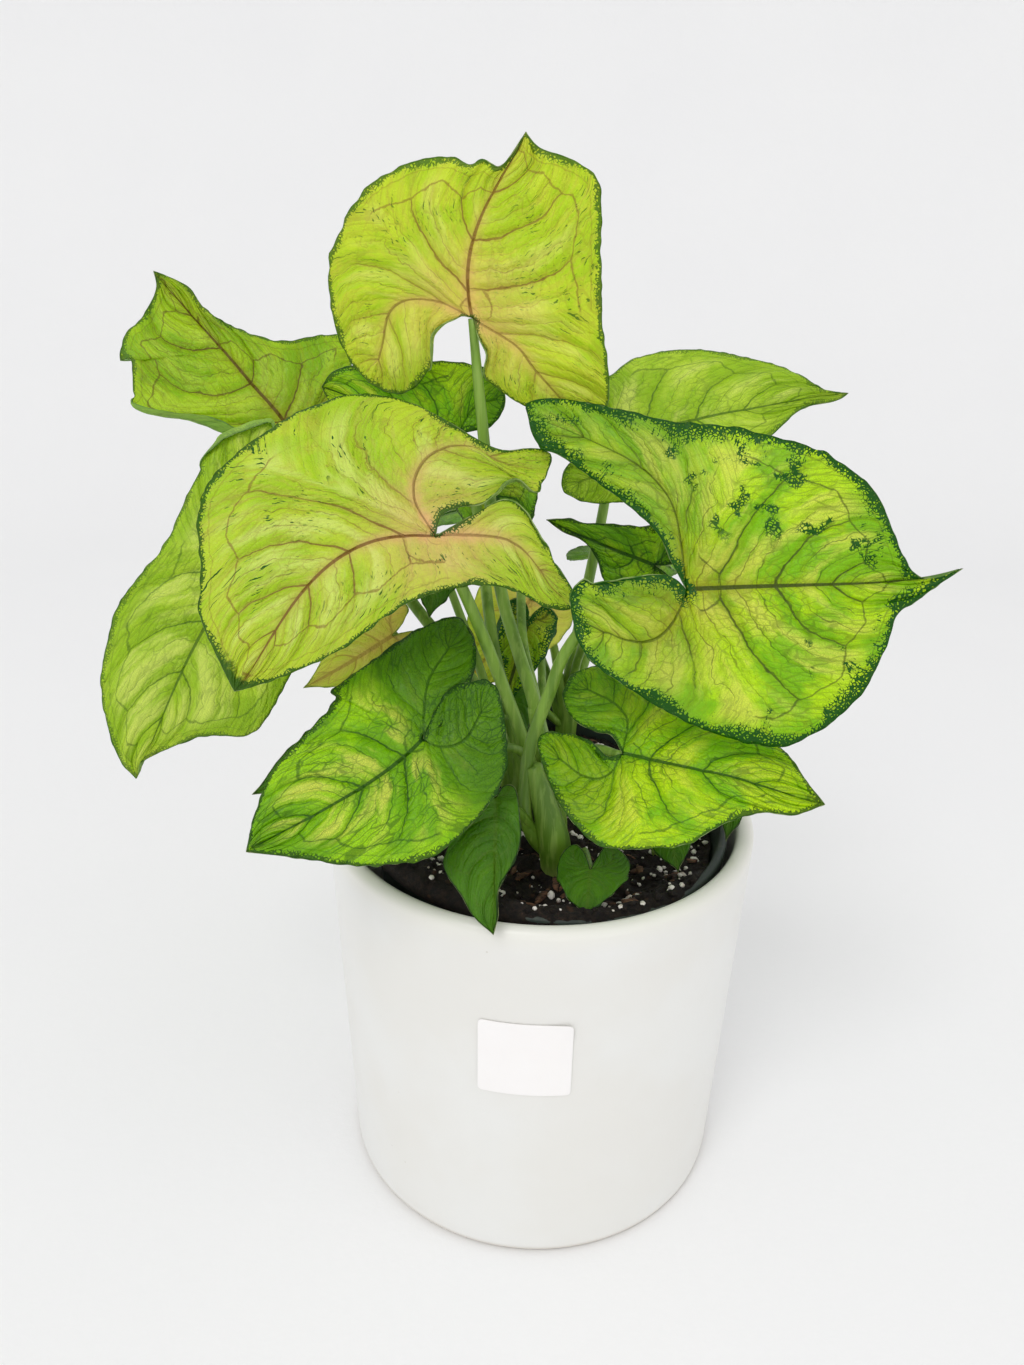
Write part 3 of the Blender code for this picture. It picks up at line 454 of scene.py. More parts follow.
class Term:
    """A node's output that sums and products turn into Math nodes."""

    def __init__(self, graph, socket):
        self.graph = graph
        self.socket = socket

    def __add__(self, other):
        return self.graph.math("ADD", self, other)

    def __sub__(self, other):
        return self.graph.math("SUBTRACT", self, other)

    def __rsub__(self, other):
        return self.graph.math("SUBTRACT", other, self)

    def __mul__(self, other):
        return self.graph.math("MULTIPLY", self, other)

    __radd__ = __add__
    __rmul__ = __mul__


class Graph:
    """A new material's nodes."""

    def __init__(self, name):
        self.material = bpy.data.materials.new(name)
        self.material.use_nodes = True
        self.tree = self.material.node_tree
        self.tree.nodes.clear()

    def plug(self, socket, value):
        if isinstance(value, Term):
            self.tree.links.new(value.socket, socket)
        elif value is not None:
            socket.default_value = value

    def node(self, kind, inputs, **settings):
        made = self.tree.nodes.new("ShaderNode" + kind)
        for key, value in settings.items():
            setattr(made, key, value)
        for key, value in inputs.items():
            self.plug(made.inputs[key], value)
        return made

    def out(self, made, key=0):
        return Term(self, made.outputs[key])

    def math(self, operation, *values):
        return self.out(self.node("Math", dict(enumerate(values)), operation=operation))

    def fade(self, value, start, end):
        """0 at start and 1 at end, smooth between them."""
        inputs = {"Value": value, "From Min": start, "From Max": end}
        return self.out(self.node("MapRange", inputs, interpolation_type="SMOOTHSTEP"))

    def mix(self, share, low, high):
        return self.out(self.node("Mix", {0: share, 6: low, 7: high}, data_type="RGBA"), 2)

    def stored(self, name):
        return self.out(self.node("Attribute", {}, attribute_name=name), "Vector")

    def split(self, vector):
        made = self.node("SeparateXYZ", {0: vector})
        return [self.out(made, i) for i in range(3)]

    def join(self, x, y, z):
        return self.out(self.node("CombineXYZ", {0: x, 1: y, 2: z}))

    def place(self, kind="Object"):
        return self.out(self.node("TexCoord", {}), kind)

    def stretched(self, vector, scale):
        return self.out(self.node("Mapping", {"Vector": vector, "Scale": scale}))

    def noise(self, vector, scale, detail=2.0, roughness=0.5, distortion=0.0):
        inputs = {"Vector": vector, "Scale": scale, "Detail": detail, "Roughness": roughness,
                  "Distortion": distortion}
        return self.out(self.node("TexNoise", inputs))

    def shaken(self, place, scale, amount):
        """The place moved about by a noise, so that cells get crooked sides."""
        jolt = self.node("TexNoise", {"Vector": place, "Scale": scale, "Detail": 1.0})
        jolt = self.out(jolt, 1)
        less = self.node("VectorMath", {0: jolt, 1: (0.5, 0.5, 0.5)}, operation="SUBTRACT")
        moved = self.node("VectorMath", {0: self.out(less), 1: (amount, amount, 0.0)}, operation="MULTIPLY")
        return self.out(self.node("VectorMath", {0: self.out(moved), 1: place}, operation="ADD"))

    def cells(self, vector, scale, feature="DISTANCE_TO_EDGE", randomness=1.0):
        inputs = {"Vector": vector, "Scale": scale, "Randomness": randomness}
        return self.out(self.node("TexVoronoi", inputs, feature=feature), "Distance")

    def bump(self, height, distance, strength=1.0, normal=None):
        inputs = {"Strength": strength, "Distance": distance, "Height": height, "Normal": normal}
        return self.out(self.node("Bump", inputs), "Normal")

    def surface(self, shader):
        end = self.tree.nodes.new("ShaderNodeOutputMaterial")
        self.tree.links.new(shader.socket, end.inputs["Surface"])
        return self.material

    def principled(self, base, roughness, normal=None, **fixed):
        inputs = {"Base Color": base, "Roughness": roughness, "Normal": normal}
        inputs.update({key.replace("_", " "): value for key, value in fixed.items()})
        return self.out(self.node("BsdfPrincipled", inputs))


# A leaf palette: body colour, its second tone, the veins, the tone beside the veins, a painted highlight colour
# for the puffs (glow), the margin line, the blush at the petiole, a painted shadow colour, the underside, then how
# strong patches, the painted highlight, net, blush, margin strokes, specks and the painted shadow are.
PALETTES = {
    "lime_pink": dict(
        body=(217, 236, 50), tone=(185, 223, 6), vein=(146, 100, 44), beside=(213, 213, 70),
        glow=(245, 246, 124), margin=(34, 100, 4), blush=(246, 204, 128), dark=(60, 100, 0), back=(163, 195, 96),
        patches=0.75, pale=0.7, net=0.24, pink=0.9, lines=0.80, strokes=0.8, twigs=0.5, tip=0,
        specks=0.8, lace=0.0, band=1.6, ring=7.0, painted_shadow=0,
    ),
    "lime_tipped": dict(
        body=(206, 231, 52), tone=(173, 217, 10), vein=(138, 92, 46), beside=(202, 202, 82),
        glow=(233, 246, 130), margin=(26, 92, 6), blush=(244, 198, 136), dark=(60, 100, 0), back=(158, 189, 96),
        patches=0.75, pale=0.8, net=0.26, pink=1.0, lines=0.85, strokes=0.9, twigs=0.55, tip=53.0,
        specks=1.0, lace=0.0, band=1.5, ring=8.0, painted_shadow=0,
    ),
    "lime_green": dict(
        body=(185, 222, 22), tone=(142, 196, 0), vein=(104, 80, 18), beside=(159, 179, 22),
        glow=(218, 241, 84), margin=(30, 88, 4), blush=(192, 163, 60), dark=(60, 100, 0), back=(125, 168, 92),
        patches=0.85, pale=0.5, net=0.34, pink=0.45, lines=0.90, strokes=0.7, twigs=0.6, tip=0,
        specks=0.4, lace=0.0, band=1.3, ring=6.5, painted_shadow=0,
    ),
    "lime_mottled": dict(
        body=(208, 246, 14), tone=(139, 207, 0), vein=(66, 82, 4), beside=(147, 186, 4),
        glow=(246, 246, 104), margin=(28, 92, 2), blush=(179, 150, 30), dark=(136, 164, 70), back=(136, 177, 86),
        patches=0.95, pale=0.75, net=0.40, pink=0.5, lines=0.92, strokes=1.0, twigs=0.7, tip=0,
        specks=0.25, lace=1.0, band=3.6, ring=8.0, painted_shadow=0.3,
    ),
    "pale_green": dict(
        body=(206, 231, 66), tone=(165, 206, 20), vein=(80, 118, 18), beside=(169, 200, 40),
        glow=(238, 245, 126), margin=(38, 96, 10), blush=(197, 209, 70), dark=(60, 100, 0), back=(158, 195, 104),
        patches=0.85, pale=0.8, net=0.36, pink=0.1, lines=0.80, strokes=0.6, twigs=0.5, tip=0,
        specks=0.3, lace=0.0, band=1.4, ring=6.0, painted_shadow=0,
    ),
    "fresh_green": dict(
        body=(214, 246, 6), tone=(144, 212, 0), vein=(36, 88, 0), beside=(134, 189, 0),
        glow=(246, 246, 84), margin=(20, 76, 0), blush=(214, 227, 20), dark=(84, 142, 0), back=(141, 187, 84),
        patches=0.95, pale=0.7, net=0.55, pink=0.0, lines=0.85, strokes=0.8, twigs=0.65, tip=0,
        specks=0.15, lace=0.0, band=1.5, ring=5.5, painted_shadow=0.6,
    ),
    "deep_green": dict(
        body=(176, 224, 4), tone=(113, 175, 0), vein=(26, 72, 0), beside=(109, 160, 0),
        glow=(246, 246, 72), margin=(14, 60, 0), blush=(160, 177, 10), dark=(62, 112, 0), back=(117, 165, 74),
        patches=0.95, pale=0.6, net=0.55, pink=0.0, lines=0.85, strokes=0.8, twigs=0.65, tip=0,
        specks=0.1, lace=0.0, band=1.3, ring=5.5, painted_shadow=0,
    ),
    "bright_front": dict(
        body=(185, 238, 6), tone=(130, 196, 0), vein=(34, 84, 0), beside=(120, 176, 0),
        glow=(246, 246, 106), margin=(18, 68, 0), blush=(185, 203, 20), dark=(66, 122, 0), back=(120, 160, 84),
        patches=0.95, pale=0.85, net=0.6, pink=0.0, lines=0.85, strokes=0.8, twigs=0.65, tip=0,
        specks=0.1, lace=0.0, band=1.3, ring=5.5, painted_shadow=0.92,
    ),
    "dark_green": dict(
        body=(83, 140, 2), tone=(56, 110, 0), vein=(92, 130, 24), beside=(68, 119, 2),
        glow=(116, 166, 18), margin=(18, 54, 0), blush=(83, 119, 10), dark=(60, 100, 0), back=(97, 137, 72),
        patches=0.7, pale=0.3, net=0.22, pink=0.0, lines=0.5, strokes=0.0, twigs=0.25, tip=0,
        specks=0.0, lace=0.0, band=0.8, ring=4.5, painted_shadow=0,
    ),
    "blush": dict(
        body=(238, 246, 96), tone=(212, 242, 60), vein=(190, 146, 80), beside=(238, 237, 110),
        glow=(246, 246, 150), margin=(120, 150, 40), blush=(246, 212, 130), dark=(60, 100, 0), back=(214, 229, 124),
        patches=0.7, pale=0.5, net=0.2, pink=0.8, lines=0.55, strokes=0.2, twigs=0.3, tip=0,
        specks=0.2, lace=0.0, band=0.8, ring=4.5, painted_shadow=0,
    ),
}


def leaf_material(name, look):
    """A blade: body, patches, a painted highlight on the puffs, a painted shadow towards the lobes, net of veins,
    side veins, margin, specks, a painted highlight on the very edge and the paler underside.
    """
    tint = {key: colour(*value) for key, value in look.items() if isinstance(value, tuple)}
    g = Graph(name)
    flat = g.stored("flat")
    along, across, seed = g.split(flat)
    phase, gap, mid = g.split(g.stored("vein"))
    edge, run, under = g.split(g.stored("rim"))
    share, foot, lobe = g.split(g.stored("reach"))

    broad = g.noise(flat, 0.060, 3.0, 0.55)
    small = g.noise(flat, 0.30, 3.0, 0.6)
    wander = (g.noise(flat, 0.13, 3.0, 0.6) - 0.5) * 0.26
    turn = phase + wander
    fibres = g.noise(g.join(turn * 15.0, mid * 0.12, seed), 1.0, 3.0, 0.6)
    away = g.math("ABSOLUTE", g.math("FRACT", turn) - 0.5) * 2.0
    lateral = away * gap * 0.5
    third = g.math("ABSOLUTE", g.math("FRACT", 3.0 * turn + 2.4 * wander) - 0.5) * gap * 0.33

    patch = g.fade(broad + 0.30 * (small - 0.5) + 0.30 * (fibres - 0.5) - 0.10 * away, 0.34, 0.52)
    shown = g.mix(patch * look["patches"], tint["body"], tint["tone"])
    shown = g.mix(g.fade(fibres, 0.52, 0.36) * 0.45, shown, tint["beside"])
    # Painted highlight: the puffs between the veins are pulled towards the pale glow colour, which stands in for
    # the sheen that light puts on them.
    puff = g.noise(g.join(turn * 2.0, mid * 0.055, seed + 4.0), 1.0, 3.0, 0.55) + 0.14 * away
    puff = g.fade(puff + 0.25 * (fibres - 0.5), 0.54, 0.74) * g.fade(edge, 1.5, 7.0)
    shown = g.mix(puff * look["pale"], shown, tint["glow"])
    # Painted shadow: towards the petiole and into the lobes the blade turns a darker green, which stands in for the
    # shade of the leaves above.
    if look["painted_shadow"]:
        painted_shadow = g.fade(along + 8.0 * (small - 0.5) + 3.0 * (fibres - 0.5), 9.0, -7.0)
        shown = g.mix(painted_shadow * look["painted_shadow"], shown, tint["dark"])
    beside = g.fade(lateral, 1.7, 0.2) * 0.45
    beside = g.math("MAXIMUM", beside, g.fade(mid, 2.6, 0.3) * 0.60) * (0.6 + 0.8 * (small - 0.3))
    shown = g.mix(beside, shown, tint["beside"])

    weave = g.join(turn * 8.0 + 0.8 * small, mid * 0.85 + 0.8 * small, seed)
    net = g.cells(weave, 0.62, randomness=0.95)
    bent = g.shaken(flat, 0.8, 0.9)
    fine = g.cells(bent, 1.40)
    grain = g.cells(flat, 2.1)
    shown = g.mix(g.fade(grain, 0.30, 0.02) * look["net"] * 0.55, shown, tint["beside"])
    mesh = g.math("MAXIMUM", g.fade(net, 0.10, 0.02), g.fade(fine, 0.11, 0.02) * 0.45)
    patchy = 0.30 + 0.70 * g.fade(g.noise(flat, 0.10, 2.0), 0.35, 0.62)
    shown = g.mix(mesh * patchy * look["net"], shown, tint["vein"])
    twigs = g.fade(third, 0.22, 0.03) * g.fade(share, 0.95, 0.60) * g.fade(fibres, 0.34, 0.56)
    shown = g.mix(twigs * look["twigs"], shown, tint["vein"])

    blush = g.fade(foot, 24.0, 0.0) * 0.70 + g.fade(mid, 3.4, 0.2) * 0.45 * g.fade(foot, 50.0, 6.0)
    blush = blush * (0.35 + 0.9 * small)
    shown = g.mix(blush * look["pink"], shown, tint["blush"])

    collect = look["ring"] * g.math("MINIMUM", 0.09 * gap, 1.0) - 2.1 * away + 1.8 * (small - 0.5)
    thin = 0.19 - 0.12 * share
    line = g.fade(lateral - thin, 0.20, 0.0) * g.fade(edge - collect, -0.9, 0.4) * (0.90 - 0.2 * share)
    line = line * (1.0 - 0.45 * lobe)
    trunk = 0.50 - 0.28 * g.fade(foot, 0.0, 60.0) - 0.18 * lobe
    rib = g.fade(mid - trunk, 0.22, 0.0) * (1.0 - 0.35 * lobe)
    ring = g.fade(g.math("ABSOLUTE", edge - collect), 0.32, 0.06) * 0.72
    inner = g.math("ABSOLUTE", edge - 2.3 + 1.4 * (small - 0.5))
    ring = g.math("MAXIMUM", ring, g.fade(inner, 0.22, 0.05) * 0.35) * (1.0 - 0.85 * lobe)
    veins = g.math("MAXIMUM", g.math("MAXIMUM", line, rib), ring)
    shown = g.mix(veins * look["lines"], shown, tint["vein"])

    clump = g.fade(g.noise(flat, 0.080, 2.0, 0.6), 0.40, 0.62)
    comb = g.noise(g.join(run * 2.3, edge * 0.35, seed), 1.0, 2.0, 0.6)
    deep = look["band"] * (0.45 + 0.9 * clump + 1.3 * (comb - 0.5) + 0.5 * (small - 0.5))
    thick = g.fade(edge, g.math("MAXIMUM", deep, 0.7), 0.2) * 0.25
    strokes = g.fade(fine - thick, 0.06, 0.0) * g.fade(thick, 0.0, 0.04)
    knots = g.noise(flat, 0.19, 2.0, 0.55) - 0.10 * g.fade(across, 6.0, -6.0) + 0.9 * (comb - 0.5) * g.fade(edge, 9.0, 3.0)
    knots = g.fade(knots - 0.05 * g.fade(mid, 12.0, 3.0), 0.53, 0.62) * g.fade(share, 0.20, 0.45)
    lace = g.fade(fine - 0.13 * knots, 0.06, 0.0) * knots
    dash = g.noise(g.join(turn * 24.0, mid * 0.45, seed + 9.0), 1.0, 2.0, 0.7)
    dots = g.fade(dash, 0.60, 0.65) * g.fade(g.noise(flat, 0.11, 1.0), 0.40, 0.56)
    dots = dots * g.fade(share, 0.10, 0.45) * look["specks"]
    marks = g.math("MAXIMUM", strokes * look["strokes"], dots)
    marks = g.math("MAXIMUM", marks, lace * look["lace"])
    hem = look["band"] * (0.01 + 0.09 * clump) + 0.16
    marks = g.math("MAXIMUM", marks, g.fade(edge - hem, 0.22, -0.05) * 0.90)
    if look["tip"]:
        blot = g.fade(along + 6.0 * (small - 0.5) + 3.0 * (comb - 0.5), look["tip"], look["tip"] + 2.0)
        marks = g.math("MAXIMUM", marks, blot * 0.92)
    shown = g.mix(marks, shown, tint["margin"])
    # Painted highlight: a pale line along the very edge of the blade, which stands in for light caught by the
    # margin.
    shown = g.mix(g.fade(edge, 0.12, 0.03) * 0.5, shown, colour(206, 216, 146))

    back = g.mix(0.60, shown, tint["back"])
    back = g.mix(g.math("MAXIMUM", rib, line) * 0.35, back, colour(176, 196, 120))
    shown = g.mix(under, shown, back)

    relief = g.fade(net, 0.0, 0.32) * 0.55 + g.fade(fine, 0.0, 0.4) * 0.30
    relief = relief + g.noise(flat, 2.4, 2.0) * 0.22 + 0.45 * fibres + g.fade(third, 0.0, 0.9) * 0.6
    normal = g.bump(relief, 0.00040, 0.60)
    gloss = 0.30 + 0.20 * small + 0.15 * under
    skin = g.principled(shown, gloss, normal, Specular_IOR_Level=0.32)
    through = g.out(g.node("HueSaturation", {"Saturation": 1.15, "Value": 1.35, "Color": shown}))
    glow = g.out(g.node("BsdfTranslucent", {"Color": through, "Normal": normal}))
    both = g.node("MixShader", {0: 0.30})
    g.plug(both.inputs[1], skin)
    g.plug(both.inputs[2], glow)
    return g.surface(g.out(both))


def stem_material():
    g = Graph("stalk_skin")
    place = g.place()
    height = g.split(place)[2]
    streaks = g.noise(g.stretched(place, (900.0, 900.0, 45.0)), 1.0, 3.0, 0.6)
    bands = g.noise(g.stretched(place, (330.0, 330.0, 16.0)), 1.0, 2.0)
    low = g.fade(height, 0.150, 0.104)
    base = g.mix(low, colour(134, 172, 62), colour(92, 132, 22))
    base = g.mix(g.fade(bands, 0.42, 0.62) * 0.55, base, colour(66, 106, 12))
    base = g.mix(g.fade(streaks, 0.50, 0.66) * 0.35, base, colour(168, 196, 96))
    base = g.mix(g.fade(height, 0.112, 0.104) * 0.5, base, colour(176, 186, 110))
    normal = g.bump(streaks, 0.00025, 0.4)
    skin = g.principled(base, 0.38 + 0.15 * streaks, normal, Subsurface_Weight=0.0)
    glow = g.out(g.node("BsdfTranslucent", {"Color": base}))
    both = g.node("MixShader", {0: 0.12})
    g.plug(both.inputs[1], skin)
    g.plug(both.inputs[2], glow)
    return g.surface(g.out(both))


def glaze_material():
    g = Graph("white_glaze")
    place = g.place()
    height = g.split(place)[2]
    cloud = g.noise(place, 22.0, 3.0, 0.55)
    pores = g.noise(place, 900.0, 2.0, 0.6)
    base = g.mix(g.fade(cloud, 0.35, 0.65) * 0.6, colour(234, 234, 231), colour(230, 228, 222))
    base = g.mix(g.fade(height, 0.104, 0.112) * 0.5, base, colour(234, 232, 220))
    base = g.mix(g.fade(height, 0.0030, 0.0004) * 0.8, base, colour(196, 186, 170))
    specks = g.fade(g.cells(place, 160.0, "F1"), 0.055, 0.035) * g.fade(g.noise(place, 40.0, 1.0), 0.62, 0.68)
    base = g.mix(specks * 0.35, base, colour(188, 180, 164))
    ripple = g.noise(place, 70.0, 2.0) + 0.25 * pores
    normal = g.bump(ripple, 0.0004, 0.25)
    gloss = 0.30 + 0.10 * cloud
    return g.surface(g.principled(base, gloss, normal, Specular_IOR_Level=0.5))


def plastic_material():
    g = Graph("nursery_plastic")
    place = g.place()
    scuff = g.noise(g.stretched(place, (120.0, 120.0, 420.0)), 1.0, 4.0, 0.65)
    dust = g.noise(place, 160.0, 4.0, 0.7)
    base = g.mix(g.fade(dust, 0.50, 0.72) * 0.45, colour(40, 52, 46), colour(92, 92, 78))
    base = g.mix(g.fade(scuff, 0.62, 0.72) * 0.3, base, colour(112, 120, 112))
    normal = g.bump(scuff + 0.4 * dust, 0.0002, 0.35)
    return g.surface(g.principled(base, 0.42 + 0.25 * dust, normal))


def paper_material():
    g = Graph("label_paper")
    place = g.place()
    grain = g.noise(place, 1400.0, 3.0, 0.6)
    cloud = g.noise(place, 90.0, 2.0)
    base = g.mix(cloud * 0.5, colour(250, 248, 247), colour(244, 240, 238))
    normal = g.bump(grain, 0.00006, 0.4)
    return g.surface(g.principled(base, 0.55 + 0.1 * grain, normal))


def soil_material():
    g = Graph("potting_mix")
    place = g.place()
    grain = g.noise(place, 700.0, 5.0, 0.75)
    lumps = g.cells(place, 420.0, "F1")
    chips = g.cells(place, 260.0, "SMOOTH_F1")
    wet = g.noise(place, 60.0, 2.0)
    base = g.mix(g.fade(grain, 0.38, 0.62), colour(13, 10, 8), colour(44, 33, 25))
    base = g.mix(g.fade(chips, 0.20, 0.08) * 0.5, base, colour(92, 62, 42))
    base = g.mix(g.fade(grain, 0.66, 0.74) * 0.6, base, colour(126, 96, 68))
    base = g.mix(g.fade(wet, 0.40, 0.60) * 0.4, base, colour(14, 10, 8))
    normal = g.bump(grain + 0.8 * lumps, 0.0012, 0.9)
    return g.surface(g.principled(base, 0.72 + 0.2 * grain, normal, Specular_IOR_Level=0.35))


def perlite_material():
    g = Graph("perlite")
    place = g.place()
    pores = g.cells(place, 1500.0, "F1")
    stain = g.noise(place, 380.0, 3.0)
    base = g.mix(g.fade(stain, 0.52, 0.68) * 0.7, colour(232, 226, 218), colour(140, 118, 98))
    return g.surface(g.principled(base, 0.85, g.bump(pores, 0.0003, 0.8)))


def bark_material():
    g = Graph("bark")
    place = g.place()
    streaks = g.noise(g.stretched(place, (240.0, 1600.0, 900.0)), 1.0, 4.0, 0.65)
    base = g.mix(g.fade(streaks, 0.38, 0.64), colour(46, 28, 18), colour(118, 82, 56))
    return g.surface(g.principled(base, 0.8, g.bump(streaks, 0.0005, 0.8)))


def floor_material():
    g = Graph("floor_paper")
    place = g.place()
    grain = g.noise(place, 420.0, 3.0, 0.6)
    base = g.mix(g.noise(place, 6.0, 2.0), colour(240, 240, 241), colour(244, 244, 244))
    return g.surface(g.principled(base, 0.75, g.bump(grain, 0.0004, 0.25), Specular_IOR_Level=0.25))


# ---------------------------------------------------------------- shapes


def add_object(name, mesh, material, node_names):
    """Adds a piece that stands for CAD nodes and rides on the one body."""
    made = bpy.data.objects.new(name, mesh)
    bpy.context.scene.collection.objects.link(made)
    mesh.materials.clear()
    mesh.materials.append(material)
    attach(made, "root")
    if node_names:
        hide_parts(*node_names)
    return made


def loose_object(name, data):
    made = bpy.data.objects.new(name, data)
    bpy.context.scene.collection.objects.link(made)
    return made


def taken_mesh(source):
    """An object's mesh in world space with its modifiers applied and near points welded."""
    bpy.context.view_layer.update()
    graph = bpy.context.evaluated_depsgraph_get()
    mesh = bpy.data.meshes.new_from_object(source.evaluated_get(graph))
    mesh.transform(source.matrix_world)
    work = bmesh.new()
    work.from_mesh(mesh)
    bmesh.ops.remove_doubles(work, verts=work.verts, dist=0.00001)
    work.to_mesh(mesh)
    work.free()
    bpy.data.objects.remove(source, do_unlink=True)
    return mesh


def joined(meshes, name):
    """One mesh with the faces of several."""
    work = bmesh.new()
    for mesh in meshes:
        work.from_mesh(mesh)
        bpy.data.meshes.remove(mesh)
    made = bpy.data.meshes.new(name)
    work.to_mesh(made)
    work.free()
    made.shade_smooth()
    return made


def arc(across, up, radius, start, end, steps):
    """Points along an arc in the profile plane, as (distance from the axis, height)."""
    angles = [math.radians(start + (end - start) * i / steps) for i in range(steps + 1)]
    return [(across + radius * math.cos(a), up + radius * math.sin(a)) for a in angles]


def turned(name, profile, steps, angle=40.0):
    """A profile that starts and ends on the axis, turned round it."""
    mesh = bpy.data.meshes.new(name)
    points = [mm(across, 0, up) for across, up in profile]
    mesh.from_pydata(points, [(i, i + 1) for i in range(len(points) - 1)], [])
    made = loose_object(name, mesh)
    screw = made.modifiers.new("Turn", "SCREW")
    screw.steps = steps
    screw.render_steps = steps
    screw.use_merge_vertices = True
    screw.merge_threshold = 0.00005
    screw.use_smooth_shade = True
    shape = taken_mesh(made)
    work = bmesh.new()
    work.from_mesh(shape)
    bmesh.ops.recalc_face_normals(work, faces=work.faces)
    work.to_mesh(shape)
    work.free()
    shape.shade_smooth()
    shape.set_sharp_from_angle(angle=math.radians(angle))
    return shape


def even_steps(start, end, count):
    """Points between two profile points, the ends left out."""
    return [
        (start[0] + (end[0] - start[0]) * i / count, start[1] + (end[1] - start[1]) * i / count)
        for i in range(1, count)
    ]


def make_cachepot():
    lip = arc(POT_RIM_R - POT_LIP_R, POT_HEIGHT - POT_LIP_R, POT_LIP_R, 180, 0, 16)
    inner = POT_WALL_FOOT_R - 2 * POT_CORNER_R
    hollow = arc(inner, POT_FLOOR + 2 * POT_CORNER_R, 2 * POT_CORNER_R, -90, 0, 8)
    foot = arc(POT_BASE_R - POT_CORNER_R, POT_CORNER_R, POT_CORNER_R, 0, -90, 8)
    profile = [(0, POT_FLOOR), (inner * 0.5, POT_FLOOR)]
    profile += hollow + even_steps(hollow[-1], lip[0], 12) + lip
    profile += even_steps(lip[-1], foot[0], 24) + foot + [(inner * 0.5, 0), (0, 0)]
    mesh = turned("outer_pot", profile, POT_STEPS, 50)
    return add_object("outer_pot", mesh, glaze_material(), ["cachepot"])


def pot_radius(height):
    """The outer pot's outer radius at a height on its wall."""
    share = (height - POT_CORNER_R) / (POT_HEIGHT - POT_LIP_R - POT_CORNER_R)
    return POT_BASE_R + share * (POT_RIM_R - POT_BASE_R)


def nursery_frame():
    """Places the nursery pot: it leans on the outer pot's wall and stands on the edge of its base."""
    lean = math.radians(NURSERY_LEAN)
    tilt = math.radians(NURSERY_TILT)
    towards = Vector((math.cos(lean), math.sin(lean), 0))
    axis = towards * math.sin(tilt) + Vector((0, 0, math.cos(tilt)))
    rim = towards * NURSERY_RIM_OFFSET + Vector((0, 0, NURSERY_RIM_Z))
    foot = (rim - axis * NURSERY_HEIGHT) * 0.001
    turn = Matrix.Rotation(tilt, 4, Vector((0, 0, 1)).cross(towards))
    return Matrix.Translation(foot) @ turn


def wall_inside(height):
    """The nursery pot's inner radius at a height in its own frame."""
    share = height / NURSERY_HEIGHT
    rim = NURSERY_RIM_R - NURSERY_RIM_WIDTH
    foot = NURSERY_BASE_R - NURSERY_WALL
    return foot + share * (rim - foot)


def round_cutter(name, radius, length, place):
    mesh = bpy.data.meshes.new(name)
    work = bmesh.new()
    bmesh.ops.create_cone(
        work, cap_ends=True, segments=28, radius1=radius * 0.001, radius2=radius * 0.001,
        depth=length * 0.001,
    )
    work.to_mesh(mesh)
    work.free()
    made = loose_object(name, mesh)
    made.location = mm(*place)
    return made


def make_nursery_pot():
    top = NURSERY_HEIGHT
    band_foot = top - NURSERY_RIM_BAND
    rim_middle = NURSERY_RIM_R - NURSERY_RIM_WIDTH / 2
    roll = NURSERY_RIM_WIDTH / 2
    inside = [(0, NURSERY_WALL), (wall_inside(NURSERY_WALL), NURSERY_WALL)]
    rim = arc(rim_middle, top - roll, roll, 180, 0, 10)
    profile = inside + even_steps(inside[-1], rim[0], 8) + rim
    profile += [
        (NURSERY_RIM_R, band_foot + 0.3),
        (NURSERY_RIM_R - 0.25, band_foot),
        (wall_inside(band_foot) + NURSERY_WALL, band_foot - 0.6),
        (NURSERY_BASE_R + 0.2, 1.0),
        (NURSERY_BASE_R - 0.8, 0),
        (0, 0),
    ]
    made = loose_object("growing_pot_blank", turned("growing_pot_blank", profile, POT_STEPS, 35))
    cutters = []
    for i in range(DRAIN_HOLES):
        angle = math.radians(DRAIN_TURN) + 2 * math.pi * i / DRAIN_HOLES
        place = (DRAIN_RING_R * math.cos(angle), DRAIN_RING_R * math.sin(angle), 0)
        cutters.append(round_cutter(f"drain_{i + 1}", DRAIN_R, 6, place))
        hole = made.modifiers.new("Cut", "BOOLEAN")
        hole.operation = "DIFFERENCE"
        hole.object = cutters[-1]
    mesh = taken_mesh(made)
    for cutter in cutters:
        bpy.data.objects.remove(cutter, do_unlink=True)
    mesh.transform(nursery_frame())
    mesh.shade_smooth()
    mesh.set_sharp_from_angle(angle=math.radians(35))
    return add_object("growing_pot", mesh, plastic_material(), ["nursery_pot"])


def soil_relief(across, deep):
    """How far the soil's surface stands above its level."""
    rolling = 0.7 * math.sin(0.13 * across + 1.0) * math.cos(0.11 * deep)
    lumps = 0.6 * math.sin(0.37 * across + 0.29 * deep) * math.cos(0.41 * deep - 0.5)
    return rolling + lumps


def crumbs(across, deep):
    """The soil's loose lumps, which the solid leaves out."""
    coarse = noise.fractal(Vector((across * 0.22, deep * 0.22, 3.0)), 0.8, 2.1, 4)
    pits = noise.noise(Vector((across * 0.7, deep * 0.7, 7.0)))
    grit = noise.noise(Vector((across * 1.6, deep * 1.6, 5.0)))
    return 1.2 * coarse + 0.45 * pits + 0.25 * grit


def heaped(angle):
    """How far the soil is heaped against the rim: 1 at the front left, 0 at the right and the back."""
    return min(1.0, max(0.0, (math.cos(angle - math.radians(HEAP_TOWARDS)) + 0.45) / 0.5))


